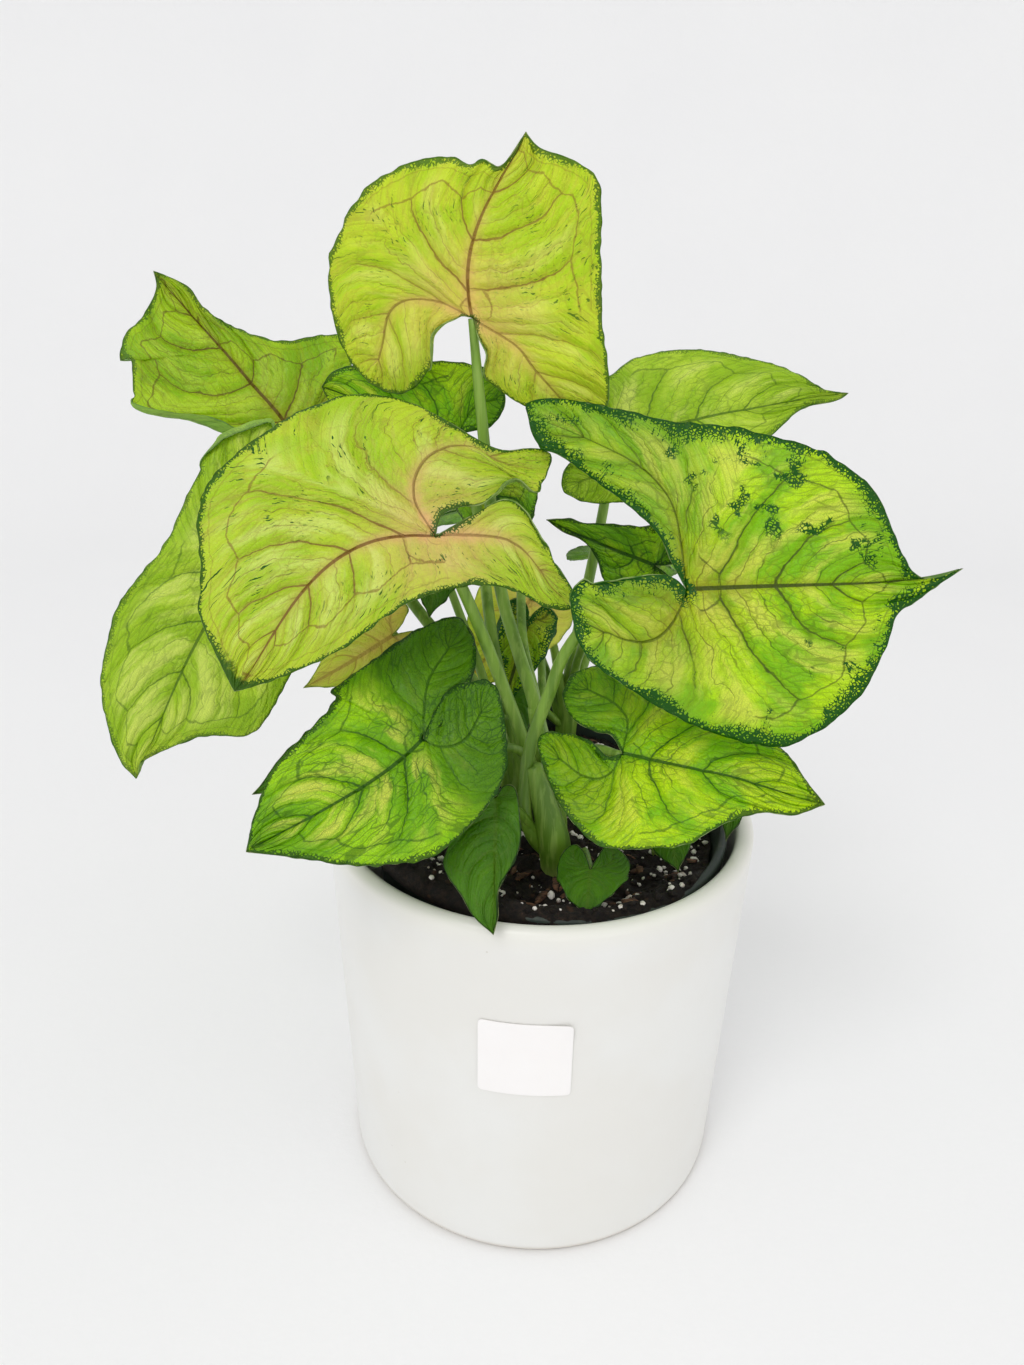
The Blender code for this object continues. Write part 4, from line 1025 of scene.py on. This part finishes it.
def soil_height(across, deep):
    """The soil's surface in the nursery pot's frame."""
    top = NURSERY_HEIGHT - SOIL_BELOW_RIM
    out = math.hypot(across, deep) / (wall_inside(top) - 2 * GAP)
    share = min(1.0, max(0.0, (out - HEAP_START) / (1 - HEAP_START)))
    heap = SOIL_BELOW_RIM * share * share * (3 - 2 * share) * heaped(math.atan2(deep, across))
    return top + soil_relief(across, deep) + crumbs(across, deep) + heap


def spill_reach(angle):
    """How far from the nursery pot's middle the spilt soil reaches, for heaped soil."""
    return NURSERY_RIM_R + 4.6 * max(0.0, math.cos(angle - math.radians(GAP_TOWARDS)))


def spill_height(across, deep, share):
    """The spilt soil's height outside the wall: share goes from 0 at the wall to 1 at its outer edge."""
    return NURSERY_HEIGHT + 1.0 - 1.8 * share ** 4 + 0.6 * crumbs(across, deep)


def soil_rings():
    """Rings of (radius, height) for one angle, from the middle over the rim and down the wall."""
    top = NURSERY_HEIGHT - SOIL_BELOW_RIM
    foot = NURSERY_WALL + GAP
    edge = wall_inside(top) - 2 * GAP
    low_edge = wall_inside(foot) - 2 * GAP
    rim = NURSERY_HEIGHT
    rows = []
    for k in range(SOIL_STEPS):
        angle = 2 * math.pi * k / SOIL_STEPS
        over = heaped(angle)
        row = []
        for i in range(1, SOIL_RINGS + 1):
            radius = edge * i / SOIL_RINGS
            row.append((radius, soil_height(radius * math.cos(angle), radius * math.sin(angle))))
        low = row[-1][1] - 1.2
        wide = spill_reach(angle) - edge
        for i in range(1, SPILL_RINGS + 1):
            share = i / SPILL_RINGS
            radius = edge + over * wide * share
            height = spill_height(radius * math.cos(angle), radius * math.sin(angle), share)
            row.append((radius, low - 0.02 * i + over * (height - low)))
        row.append((edge + over * wide, low - 0.5 + over * (rim - 3.5 - low)))
        row.append((edge, low - 0.8 + over * (rim - 6.0 - low)))
        start = row[-1][1] - 0.5
        for i in range(1, SOIL_WALL_RINGS + 1):
            share = i / SOIL_WALL_RINGS
            row.append((edge + share * (low_edge - edge), start + share * (foot - start)))
        rows.append([
            mm(radius * math.cos(angle), radius * math.sin(angle), height) for radius, height in row
        ])
    return rows


def make_soil(material):
    work = bmesh.new()
    rays = [[work.verts.new(point) for point in row] for row in soil_rings()]
    for ray, after in zip(rays, [*rays[1:], rays[0]]):
        for i in range(len(ray) - 1):
            work.faces.new((ray[i], ray[i + 1], after[i + 1], after[i]))
    middle = work.verts.new(mm(0, 0, soil_height(0, 0)))
    under = work.verts.new(mm(0, 0, NURSERY_WALL + GAP))
    for ray, after in zip(rays, [*rays[1:], rays[0]]):
        work.faces.new((middle, ray[0], after[0]))
        work.faces.new((under, after[-1], ray[-1]))
    mesh = bpy.data.meshes.new("potting_mix")
    work.to_mesh(mesh)
    work.free()
    mesh.shade_smooth()
    mesh.transform(nursery_frame())
    return add_object("potting_mix", mesh, material, ["soil"])


def soil_spot(draw, margin):
    """A random place on the soil's surface, in the nursery pot's frame."""
    wall = wall_inside(NURSERY_HEIGHT - SOIL_BELOW_RIM)
    angle = draw.uniform(0, 2 * math.pi)
    spilt = spill_reach(angle) - wall if heaped(angle) > 0.9 else 0.0
    distance = (wall + spilt - margin) * math.sqrt(draw.random())
    across, deep = distance * math.cos(angle), distance * math.sin(angle)
    if distance > wall:
        return across, deep, spill_height(across, deep, (distance - wall) / spilt)
    return across, deep, soil_height(across, deep)


def lump(name, size, stretch, place, turn, seed, rough, level):
    """A small closed lump, knocked out of round by noise."""
    mesh = bpy.data.meshes.new(name)
    work = bmesh.new()
    bmesh.ops.create_icosphere(work, subdivisions=level, radius=1.0)
    for vertex in work.verts:
        push = 1 + rough * noise.noise(vertex.co * 1.6 + Vector((seed, 2 * seed, 0)))
        vertex.co = Vector((vertex.co.x * stretch[0], vertex.co.y * stretch[1], vertex.co.z * stretch[2]))
        vertex.co *= push * size * 0.001
    bmesh.ops.transform(work, matrix=Matrix.Translation(mm(*place)) @ turn, verts=work.verts)
    work.to_mesh(mesh)
    work.free()
    return mesh


def any_turn(draw, tilt):
    spin = Matrix.Rotation(draw.uniform(0, 2 * math.pi), 4, "Z")
    lean = Matrix.Rotation(draw.uniform(-tilt, tilt), 4, "X")
    return spin @ lean


def scatter_perlite():
    draw = random.Random(4)
    meshes = []
    for i in range(PERLITE):
        across, deep, up = soil_spot(draw, 2.0)
        size = draw.choice((0.3, 0.35, 0.4, 0.5, 0.6, 0.75, 0.9, 1.15))
        stretch = (1.0, draw.uniform(0.7, 1.0), draw.uniform(0.6, 0.9))
        place = (across, deep, up + 0.25 * size)
        meshes.append(lump(f"grain_{i}", size, stretch, place, any_turn(draw, 1.0), i, 0.35, 2))
    mesh = joined(meshes, "perlite")
    mesh.transform(nursery_frame())
    return add_object("perlite", mesh, perlite_material(), [])


def scatter_crumbs(material):
    draw = random.Random(6)
    meshes = []
    for i in range(CRUMBS):
        across, deep, up = soil_spot(draw, 1.0)
        size = 0.3 + 1.1 * draw.random() ** 2
        stretch = (1.0, draw.uniform(0.5, 0.9), draw.uniform(0.4, 0.8))
        place = (across, deep, up + 0.1 * size)
        meshes.append(lump(f"crumb_{i}", size, stretch, place, any_turn(draw, 1.2), i, 0.8, 1))
    mesh = joined(meshes, "soil_crumbs")
    mesh.transform(nursery_frame())
    return add_object("soil_crumbs", mesh, material, [])


def scatter_bark():
    draw = random.Random(9)
    meshes = []
    for i in range(BARK):
        across, deep, up = soil_spot(draw, 4.0)
        size = draw.uniform(0.8, 3.0)
        stretch = (1.0, draw.uniform(0.25, 0.5), draw.uniform(0.12, 0.25))
        meshes.append(
            lump(f"chip_{i}", size, stretch, (across, deep, up + 0.3), any_turn(draw, 0.5), i, 0.9, 2)
        )
    mesh = joined(meshes, "bark_chips")
    mesh.transform(nursery_frame())
    return add_object("bark_chips", mesh, bark_material(), [])


def make_label():
    """Thin paper with rounded corners that follows the pot's front, one corner a little lifted."""
    work = bmesh.new()
    count = LABEL_GRID
    rows = []
    for i in range(count + 1):
        row = []
        for k in range(count + 1):
            right, up = 2 * k / count - 1, 2 * i / count - 1
            across, high = rounded(right * LABEL_WIDTH / 2, up * LABEL_HEIGHT / 2)
            right, up = across / (LABEL_WIDTH / 2), high / (LABEL_HEIGHT / 2)
            height = LABEL_MIDDLE_Z + high
            lift = LABEL_LIFT * max(0.0, right + up - 1.2) ** 2
            radius = pot_radius(height) + 0.2 + LABEL_THICKNESS / 2 + lift
            angle = -math.pi / 2 + (LABEL_OFFSET + across) / radius
            point = mm(radius * math.cos(angle), radius * math.sin(angle), height)
            row.append(work.verts.new(point))
        rows.append(row)
    for low, high in zip(rows, rows[1:]):
        for k in range(count):
            work.faces.new((low[k], low[k + 1], high[k + 1], high[k]))
    mesh = bpy.data.meshes.new("blank_label")
    work.to_mesh(mesh)
    work.free()
    made = loose_object("label_sheet", mesh)
    sheet = made.modifiers.new("Thickness", "SOLIDIFY")
    sheet.thickness = LABEL_THICKNESS * 0.001
    sheet.offset = 0
    shape = taken_mesh(made)
    shape.shade_smooth()
    shape.set_sharp_from_angle(angle=math.radians(50))
    return add_object("blank_label", shape, paper_material(), ["label"])


def rounded(across, high):
    """Pulls the points of a square's corners in, so that the corners are round."""
    inner_x, inner_y = LABEL_WIDTH / 2 - LABEL_CORNER_R, LABEL_HEIGHT / 2 - LABEL_CORNER_R
    over_x, over_y = abs(across) - inner_x, abs(high) - inner_y
    if over_x <= 0 or over_y <= 0:
        return across, high
    reach = math.hypot(over_x, over_y)
    pull = max(over_x, over_y) / reach
    return (
        math.copysign(inner_x + over_x * pull, across),
        math.copysign(inner_y + over_y * pull, high),
    )


def smooth_path(points, steps=8):
    """A Catmull-Rom curve through the points, as a dense polyline."""
    knots = np.array([points[0], *points, points[-1]], float)
    out = []
    for a, b, c, d in zip(knots, knots[1:], knots[2:], knots[3:]):
        for t in np.arange(steps) / steps:
            cubic = (3 * b - 3 * c + d - a) * t**3 + (2 * a - 5 * b + 4 * c - d) * t**2
            out.append(0.5 * (cubic + (c - a) * t + 2 * b))
    out.append(knots[-1])
    return np.array(out)


def spread(path, count):
    """Count + 1 points at even distances along a polyline."""
    runs = np.r_[0, np.cumsum(np.linalg.norm(np.diff(path, axis=0), axis=1))]
    marks = np.linspace(0, runs[-1], count + 1)
    return np.stack([np.interp(marks, runs, path[:, k]) for k in range(2)], axis=1)


def from_margin(flat, path):
    """Each flat point's distance to the margin, and how far along the margin the nearest point is."""
    starts, steps = path[:-1], np.diff(path, axis=0)
    lengths = np.linalg.norm(steps, axis=1)
    runs = np.r_[0, np.cumsum(lengths)]
    points = flat.reshape(-1, 2)
    away = points[:, None] - starts[None]
    share = np.clip((away * steps).sum(2) / np.maximum(lengths**2, 1e-12), 0, 1)
    gaps = np.linalg.norm(away - share[..., None] * steps, axis=2)
    best = gaps.argmin(axis=1)
    index = np.arange(len(points))
    run = runs[best] + share[index, best] * lengths[best]
    return gaps[index, best].reshape(flat.shape[:2]), run.reshape(flat.shape[:2])


class Blade:
    """A leaf's shape: flat points along its veins, and the bending that carries them into space."""

    def __init__(self, leaf, veins=4, lobe_veins=3, rolls=()):
        self.leaf = leaf
        self.rolls = rolls
        self.veins = veins
        self.lobe_veins = lobe_veins
        self.base = Vector(leaf.at)
        self.ahead = Vector(leaf.tip) - self.base
        self.length = self.ahead.length
        self.ahead.normalize()
        face = Vector(leaf.face)
        self.up = (face - self.ahead * face.dot(self.ahead)).normalized()
        self.side = self.up.cross(self.ahead)
        self.apex = leaf.apex or (self.length, 0.0)

    def midrib(self, along):
        """The midrib's sideways place at a distance from the petiole."""
        share = np.clip(along / self.apex[0], 0, 1)
        return self.leaf.bow * 5.4 * share * (1 - share) ** 1.5 + self.apex[1] * share**6

    def lobe_vein(self, outer, inner, count):
        """The vein from the petiole into a lobe, between the lobe's outer and inner margins."""
        outside = spread(outer, VEIN_STEPS)
        inside = spread(inner, VEIN_STEPS)[::-1]
        share = np.linspace(0, 1, VEIN_STEPS + 1)[:, None]
        lean = VEIN_BALANCE * np.sin(np.pi / 2 * np.minimum(1, 2 * share))
        vein = spread((inside + lean * (outside - inside))[:-VEIN_SHORT], VEIN_STEPS)
        feet = np.minimum(1, np.linspace(0, 1, count + 1) / VEIN_FAN) * VEIN_STEPS
        return np.stack([np.interp(feet, range(VEIN_STEPS + 1), vein[:, k]) for k in range(2)], axis=1)

    def half(self, side, rows, lobe_rows, columns):
        """Flat points of one half, rows from tip to petiole and then round the lobe's vein."""
        outline = self.leaf.left if side > 0 else self.leaf.right
        path = smooth_path([self.apex, *outline, (0.0, 0.0)])
        lean = path[:, 0] - VEIN_SLANT * np.abs(path[:, 1])
        shoulder = int(np.argmax(lean <= 0))
        corner = int(np.argmax(0.35 * np.abs(path[:, 1]) - path[:, 0]))
        front = spread(path[: shoulder + 1], rows)
        outer = spread(path[shoulder : corner + 1], lobe_rows)
        inner = spread(path[corner:], lobe_rows)
        foot = 0.96 * self.apex[0] * np.linspace(1, 0, rows + 1)
        rib = np.stack([foot, self.midrib(foot)], axis=1)
        vein = self.lobe_vein(path[shoulder : corner + 1], path[corner:], lobe_rows)
        margin = np.concatenate([front, outer[1:], inner[1:]])
        ribs = np.concatenate([rib, vein[1:], vein[-2::-1]])
        share = np.linspace(0, 1, columns + 1)[None, :, None]
        reach = margin - ribs
        ragged = [noise.noise(Vector((x * 0.35, y * 0.35, 9.0))) for x, y in margin]
        ragged = RAGGED * np.array(ragged) * np.sin(np.linspace(0, np.pi, len(margin))) ** 0.5
        reach *= 1 + (ragged / np.maximum(np.linalg.norm(reach, axis=1), 3.0))[:, None]
        flat = ribs[:, None] + reach[:, None] * share
        bend = VEIN_BEND * np.linalg.norm(reach, axis=1)[:, None] * (4 * share * (1 - share))[..., 0]
        bend[rows + 1 :] *= 0
        bend[: rows + 1] *= (np.linspace(0, 1, rows + 1) * np.linspace(1, 0, rows + 1))[:, None] * 4
        flat[..., 0] -= bend
        share = share[..., 0] + np.zeros(flat.shape[:2])
        return flat, share, self.marks(path, flat, share, reach, rows, lobe_rows)

    def marks(self, path, flat, share, reach, rows, lobe_rows):
        """What the material needs at each point: side vein number and gap, and distances."""
        lobe = np.linspace(0, 1, lobe_rows + 1)[1:]
        front = self.veins * np.linspace(0, 1, rows + 1) ** 0.85
        phase = np.concatenate([
            front, self.veins + self.lobe_veins * lobe, self.veins + self.lobe_veins * (1 + lobe)
        ])
        far = np.linspace(1, 0, rows + 1)
        hump = np.sin(np.pi * lobe)
        slant = np.concatenate([VEIN_SKEW * self.veins * far, -0.5 * hump, 0.5 * hump])
        arch = np.concatenate([1 - (1 - far) ** 4, -hump, hump])
        phase = phase[:, None] + slant[:, None] * share + ARCH * arch[:, None] * share**3
        along_row = reach / np.maximum(np.linalg.norm(reach, axis=1), 1e-6)[:, None]
        step = np.gradient(flat, axis=0)
        step -= (step * along_row[:, None]).sum(2)[..., None] * along_row[:, None]
        gap = np.linalg.norm(step, axis=2) / np.maximum(np.abs(np.gradient(phase, axis=0)), 1e-3)
        edge, run = from_margin(flat, path)
        mid = share * np.linalg.norm(reach, axis=1)[:, None]
        foot = np.linalg.norm(flat, axis=2)
        in_lobe = np.r_[np.zeros(rows + 1), np.ones(2 * lobe_rows)][:, None] + np.zeros_like(mid)
        return {"phase": phase, "gap": gap, "edge": edge, "run": run, "mid": mid, "foot": foot,
                "share": share, "lobe": in_lobe}

    def height(self, flat, share, side):
        """How far the blade stands above its plane at the flat points."""
        leaf = self.leaf
        pick = 0 if side > 0 else 1
        outline = np.array(leaf.left if side > 0 else leaf.right)
        width = np.abs(outline[:, 1]).max()
        reach = max(-outline[:, 0].min(), 1.0)
        along, across = flat[..., 0], flat[..., 1]
        ahead = along / self.length
        out = np.abs(across - self.midrib(along)) / width
        turn = np.linspace(0, 1, flat.shape[0])[:, None]
        calm = np.sin(np.pi * turn)
        rise = np.where(ahead > 0, 4 * leaf.arch * ahead * (1 - ahead), 2 * leaf.arch * ahead)
        rise += leaf.fold[pick] * out - leaf.droop[pick] * out**2
        rise += leaf.lobe_lift[pick] * (np.maximum(0, -along) / reach) ** 2
        rise -= leaf.curl[pick] * share**3 * calm
        rise += leaf.tip_lift * np.maximum(0, ahead - 0.8) * 5
        rise += leaf.ripple * share**2 * calm * np.sin(2 * np.pi * leaf.waves * turn + leaf.phase)
        return rise

    def relief(self, marks):
        """Grooves at the veins and the puffed blade between them."""
        wave = marks["phase"] - np.floor(marks["phase"]) - 0.5
        lateral = np.abs(wave) * marks["gap"]
        calm = np.clip(marks["gap"] / 9.0, 0, 1) * (1 - marks["share"] ** 6)
        groove = (0.42 - 0.25 * marks["lobe"]) * np.exp(-((marks["mid"] / 0.9) ** 2))
        groove += 0.26 * np.exp(-((lateral / 0.85) ** 2)) * calm
        groove += 0.12 * np.exp(-(((marks["edge"] - 3.6) / 0.8) ** 2))
        puff = QUILT * np.sin(np.pi * wave) ** 2 * calm * np.clip(marks["mid"] / 7.0, 0, 1)
        puff += 0.16 * np.cos(6 * np.pi * marks["phase"]) * calm * np.clip(marks["mid"] / 4.0, 0, 1)
        return (puff - groove) * min(1.0, self.length / 40.0)

    def swell(self, flat):
        """Broad soft bulges that make each leaf uneven in its own way."""
        size = SWELL * min(1.0, self.length / 50.0)
        spots = flat.reshape(-1, 2) * 0.055
        shift = Vector((self.base.x, self.base.z, 0.0)) * 0.37
        bulge = [noise.noise(Vector((along, across, 0.0)) + shift) for along, across in spots]
        calm = np.clip(np.linalg.norm(flat, axis=2) / 12.0, 0, 1)
        return size * np.array(bulge).reshape(flat.shape[:2]) * calm

    def points(self, side, rows, lobe_rows, columns):
        """The half's points in space, in millimetres, and their marks."""
        flat, share, marks = self.half(side, rows, lobe_rows, columns)
        rise = self.height(flat, share, side) + self.relief(marks) + self.swell(flat)
        base, ahead = np.array(self.base), np.array(self.ahead)
        space = (
            base
            + flat[..., :1] * ahead
            + flat[..., 1:] * np.array(self.side)
            + rise[..., None] * np.array(self.up)
        )
        return self.rolled(side, space, flat, marks)

    def rolled(self, side, space, flat, marks):
        """Adds the strips of margin that curl up over the blade's face."""
        turn = np.linspace(0, 1, space.shape[0])
        wide = np.zeros_like(turn)
        for where, start, end, width in self.rolls:
            if where == side:
                inside = np.clip((turn - start) / (end - start), 0, 1)
                wide = np.maximum(wide, width * np.sin(np.pi * inside) ** 0.7)
        out = space[:, -1] - space[:, -3]
        out /= np.maximum(np.linalg.norm(out, axis=1), 1e-6)[:, None]
        up = np.array(self.up)
        run = wide[:, None] * np.linspace(0, 1, ROLL_COLUMNS + 1)[None, 1:]
        angle = np.minimum(run / ROLL_R, 0.92 * np.pi)
        ahead = ROLL_R * np.sin(angle) + (run - ROLL_R * angle) * np.cos(angle)
        rise = ROLL_R * (1 - np.cos(angle)) + (run - ROLL_R * angle) * np.sin(angle)
        strip = space[:, -1:] + ahead[..., None] * out[:, None] + rise[..., None] * up
        more = {key: np.repeat(value[:, -1:], ROLL_COLUMNS, axis=1) for key, value in marks.items()}
        more["edge"] = more["edge"] + wide[:, None] - run
        marks["edge"] = marks["edge"] + wide[:, None]
        marks = {key: np.concatenate([value, more[key]], axis=1) for key, value in marks.items()}
        away = np.stack([run, np.zeros_like(run)], axis=2)
        flat = np.concatenate([flat, flat[:, -1:] + away], axis=1)
        return np.concatenate([space, strip], axis=1), flat, marks

    def grid(self):
        return LARGE_GRID if self.length > LARGE_BLADE else SMALL_GRID

    def stalk_end(self):
        """Where the stalk meets the blade, at its underside."""
        return self.base - self.up * 0.9 - self.ahead * 0.3


def grid_faces(start, rows, columns, side):
    """A grid's quads as vertex numbers, so that they face the blade's upper side."""
    faces = []
    for i in range(rows - 1):
        for k in range(columns - 1):
            a = start + i * columns + k
            quad = (a, a + 1, a + columns + 1, a + columns)
            faces.append(quad if side > 0 else quad[::-1])
    return faces


STORED = ("phase", "gap", "mid", "edge", "run", "share", "foot", "lobe")


def blade_mesh(name, blade, seed):
    """A closed thin sheet with the marks stored on its points."""
    spaces, stores, faces = [], [], []
    start = 0
    for side in (1, -1):
        space, flat, marks = blade.points(side, *blade.grid())
        rows, columns = flat.shape[:2]
        faces += grid_faces(start, rows, columns, side)
        start += rows * columns
        spaces.append(space.reshape(-1, 3))
        stores.append(np.stack(
            [flat[..., 0], flat[..., 1], np.full(flat.shape[:2], seed)]
            + [marks[key] for key in STORED], axis=2
        ).reshape(-1, 3 + len(STORED)))
    space, store = np.concatenate(spaces), np.concatenate(stores)
    _, first, number = np.unique(np.round(space / 0.02 + 0.237), axis=0, return_index=True,
                                 return_inverse=True)
    number = number.reshape(-1)
    space, store = space[first], store[first]
    sheet = []
    for face in faces:
        corners = list(dict.fromkeys(number[i] for i in face))
        if len(corners) > 2:
            sheet.append(corners)
    normals = np.zeros_like(space)
    for corners in sheet:
        a, b, c = space[corners[0]], space[corners[1]], space[corners[2]]
        normal = np.cross(b - a, c - a)
        if len(corners) > 3:
            normal += np.cross(c - a, space[corners[3]] - a)
        normals[corners] += normal
    normals /= np.maximum(np.linalg.norm(normals, axis=1), 1e-9)[:, None]
    count = len(space)
    thick = np.where(store[:, 6] < 0.05, 0.5, 1.0)[:, None] * BLADE_THICKNESS / 2
    everything = np.concatenate([space + normals * thick, space - normals * thick])
    closed = [tuple(corners) for corners in sheet]
    closed += [tuple(i + count for i in corners[::-1]) for corners in sheet]
    closed += rim_faces(sheet, count)
    mesh = bpy.data.meshes.new(name)
    mesh.from_pydata(everything * 0.001, [], closed)
    store = np.concatenate([store, store])
    under = np.r_[np.zeros(count), np.ones(count)]
    keep(mesh, "flat", store[:, :3])
    keep(mesh, "vein", store[:, 3:6])
    keep(mesh, "rim", np.stack([store[:, 6], store[:, 7], under], axis=1))
    keep(mesh, "reach", store[:, 8:11])
    mesh.shade_smooth()
    return mesh


def rim_faces(sheet, count):
    """Quads that close the sheet's free edges."""
    edges = {}
    for corners in sheet:
        for a, b in zip(corners, [*corners[1:], corners[0]]):
            if (b, a) in edges:
                del edges[(b, a)]
            else:
                edges[(a, b)] = True
    return [(b, a, a + count, b + count) for a, b in edges]


def keep(mesh, name, values):
    """Stores three numbers a point for the material."""
    layer = mesh.attributes.new(name, "FLOAT_VECTOR", "POINT")
    layer.data.foreach_set("vector", np.ascontiguousarray(values, np.float32).ravel())


def make_blades():
    materials = {name: leaf_material(name, look) for name, look in PALETTES.items()}
    for seed, (name, leaf) in enumerate(LEAVES.items()):
        palette, veins, lobe_veins = LOOKS[name]
        blade = Blade(leaf, veins, lobe_veins, ROLLS.get(name, ()))
        piece = name.replace("leaf_", "blade_")
        mesh = blade_mesh(piece, blade, 37.0 * seed)
        add_object(piece, mesh, materials[palette], [name])


def tube(name, points, radii):
    """A round tube through the points, as a curve whose bevel follows the radii."""
    curve = bpy.data.curves.new(name, "CURVE")
    curve.dimensions = "3D"
    curve.bevel_depth = 0.001
    curve.bevel_resolution = STALK_SIDES
    curve.resolution_u = 10
    curve.use_fill_caps = True
    spline = curve.splines.new("BEZIER")
    spline.bezier_points.add(len(points) - 1)
    for knot, point, radius in zip(spline.bezier_points, points, radii):
        knot.co = mm(*point)
        knot.radius = radius
        knot.handle_left_type = "AUTO"
        knot.handle_right_type = "AUTO"
    return taken_mesh(loose_object(name, curve))


def make_stems(material):
    for name, stem in STEMS.items():
        meshes = [tube(f"{name}_core", stem.core, stem.radii)]
        for i, (points, radii) in enumerate(SHEATHS.get(name, ())):
            meshes.append(tube(f"{name}_sheath_{i}", points, radii))
        for stalk in stem.stalks:
            end = Blade(LEAVES[stalk.leaf]).stalk_end()
            points = [*stalk.through, tuple(end)]
            shares = [i / (len(points) - 1) for i in range(len(points))]
            radii = [stalk.foot_r + (stalk.neck_r - stalk.foot_r) * share for share in shares]
            radii[-1] = STALK_TIP_R
            meshes.append(tube(f"stalk_{stalk.leaf}", points, radii))
        piece = name.replace("stem", "stalks")
        add_object(piece, joined(meshes, piece), material, [name])


# ---------------------------------------------------------------- stage and main


def make_stage():
    profile = [(0, 0), (FLOOR_FLAT * 0.5, 0)]
    profile += arc(FLOOR_FLAT, FLOOR_SWEEP, FLOOR_SWEEP, -90, 0, 24)
    mesh = bpy.data.meshes.new("floor")
    points = [mm(across, 0, up) for across, up in profile]
    mesh.from_pydata(points, [(i, i + 1) for i in range(len(points) - 1)], [])
    blank = loose_object("floor_blank", mesh)
    screw = blank.modifiers.new("Turn", "SCREW")
    screw.steps = 96
    screw.render_steps = 96
    screw.use_merge_vertices = True
    screw.use_normal_flip = True
    floor = loose_object("floor", taken_mesh(blank))
    floor.data.shade_smooth()
    floor.data.materials.append(floor_material())


def area_light(name, place, aim, size, power):
    data = bpy.data.lights.new(name, "AREA")
    data.shape = "DISK"
    data.size = size
    data.energy = power
    lamp = loose_object(name, data)
    lamp.location = Vector(place)
    lamp.rotation_mode = "QUATERNION"
    lamp.rotation_quaternion = (Vector(aim) - Vector(place)).to_track_quat("-Z", "Y")


def make_light():
    world = bpy.data.worlds.new("studio")
    bpy.context.scene.world = world
    world.use_nodes = True
    back = world.node_tree.nodes["Background"]
    back.inputs["Color"].default_value = (1.0, 1.0, 1.0, 1.0)
    back.inputs["Strength"].default_value = WORLD_LIGHT
    area_light("key", (-0.55, -1.35, 1.90), (0, 0, 0.12), 0.9, KEY_LIGHT)
    area_light("fill", (0.9, -0.5, 0.8), (0, 0, 0.15), 0.9, FILL_LIGHT)
    bpy.context.scene.view_settings.view_transform = "Standard"


def make_camera():
    data = bpy.data.cameras.new("camera")
    data.sensor_width = 36.0
    data.lens = CAMERA_LENS
    data.clip_start = 0.01
    camera = loose_object("camera", data)
    back = -Vector(CAMERA_AHEAD)
    turn = Matrix((CAMERA_RIGHT, CAMERA_UP, back)).transposed()
    camera.matrix_world = Matrix.Translation(mm(*CAMERA_AT)) @ turn.to_4x4()
    bpy.context.scene.camera = camera


make_camera()
make_stage()
make_light()
make_cachepot()
make_label()
make_nursery_pot()
soil = soil_material()
make_soil(soil)
scatter_crumbs(soil)
scatter_perlite()
scatter_bark()
make_stems(stem_material())
make_blades()
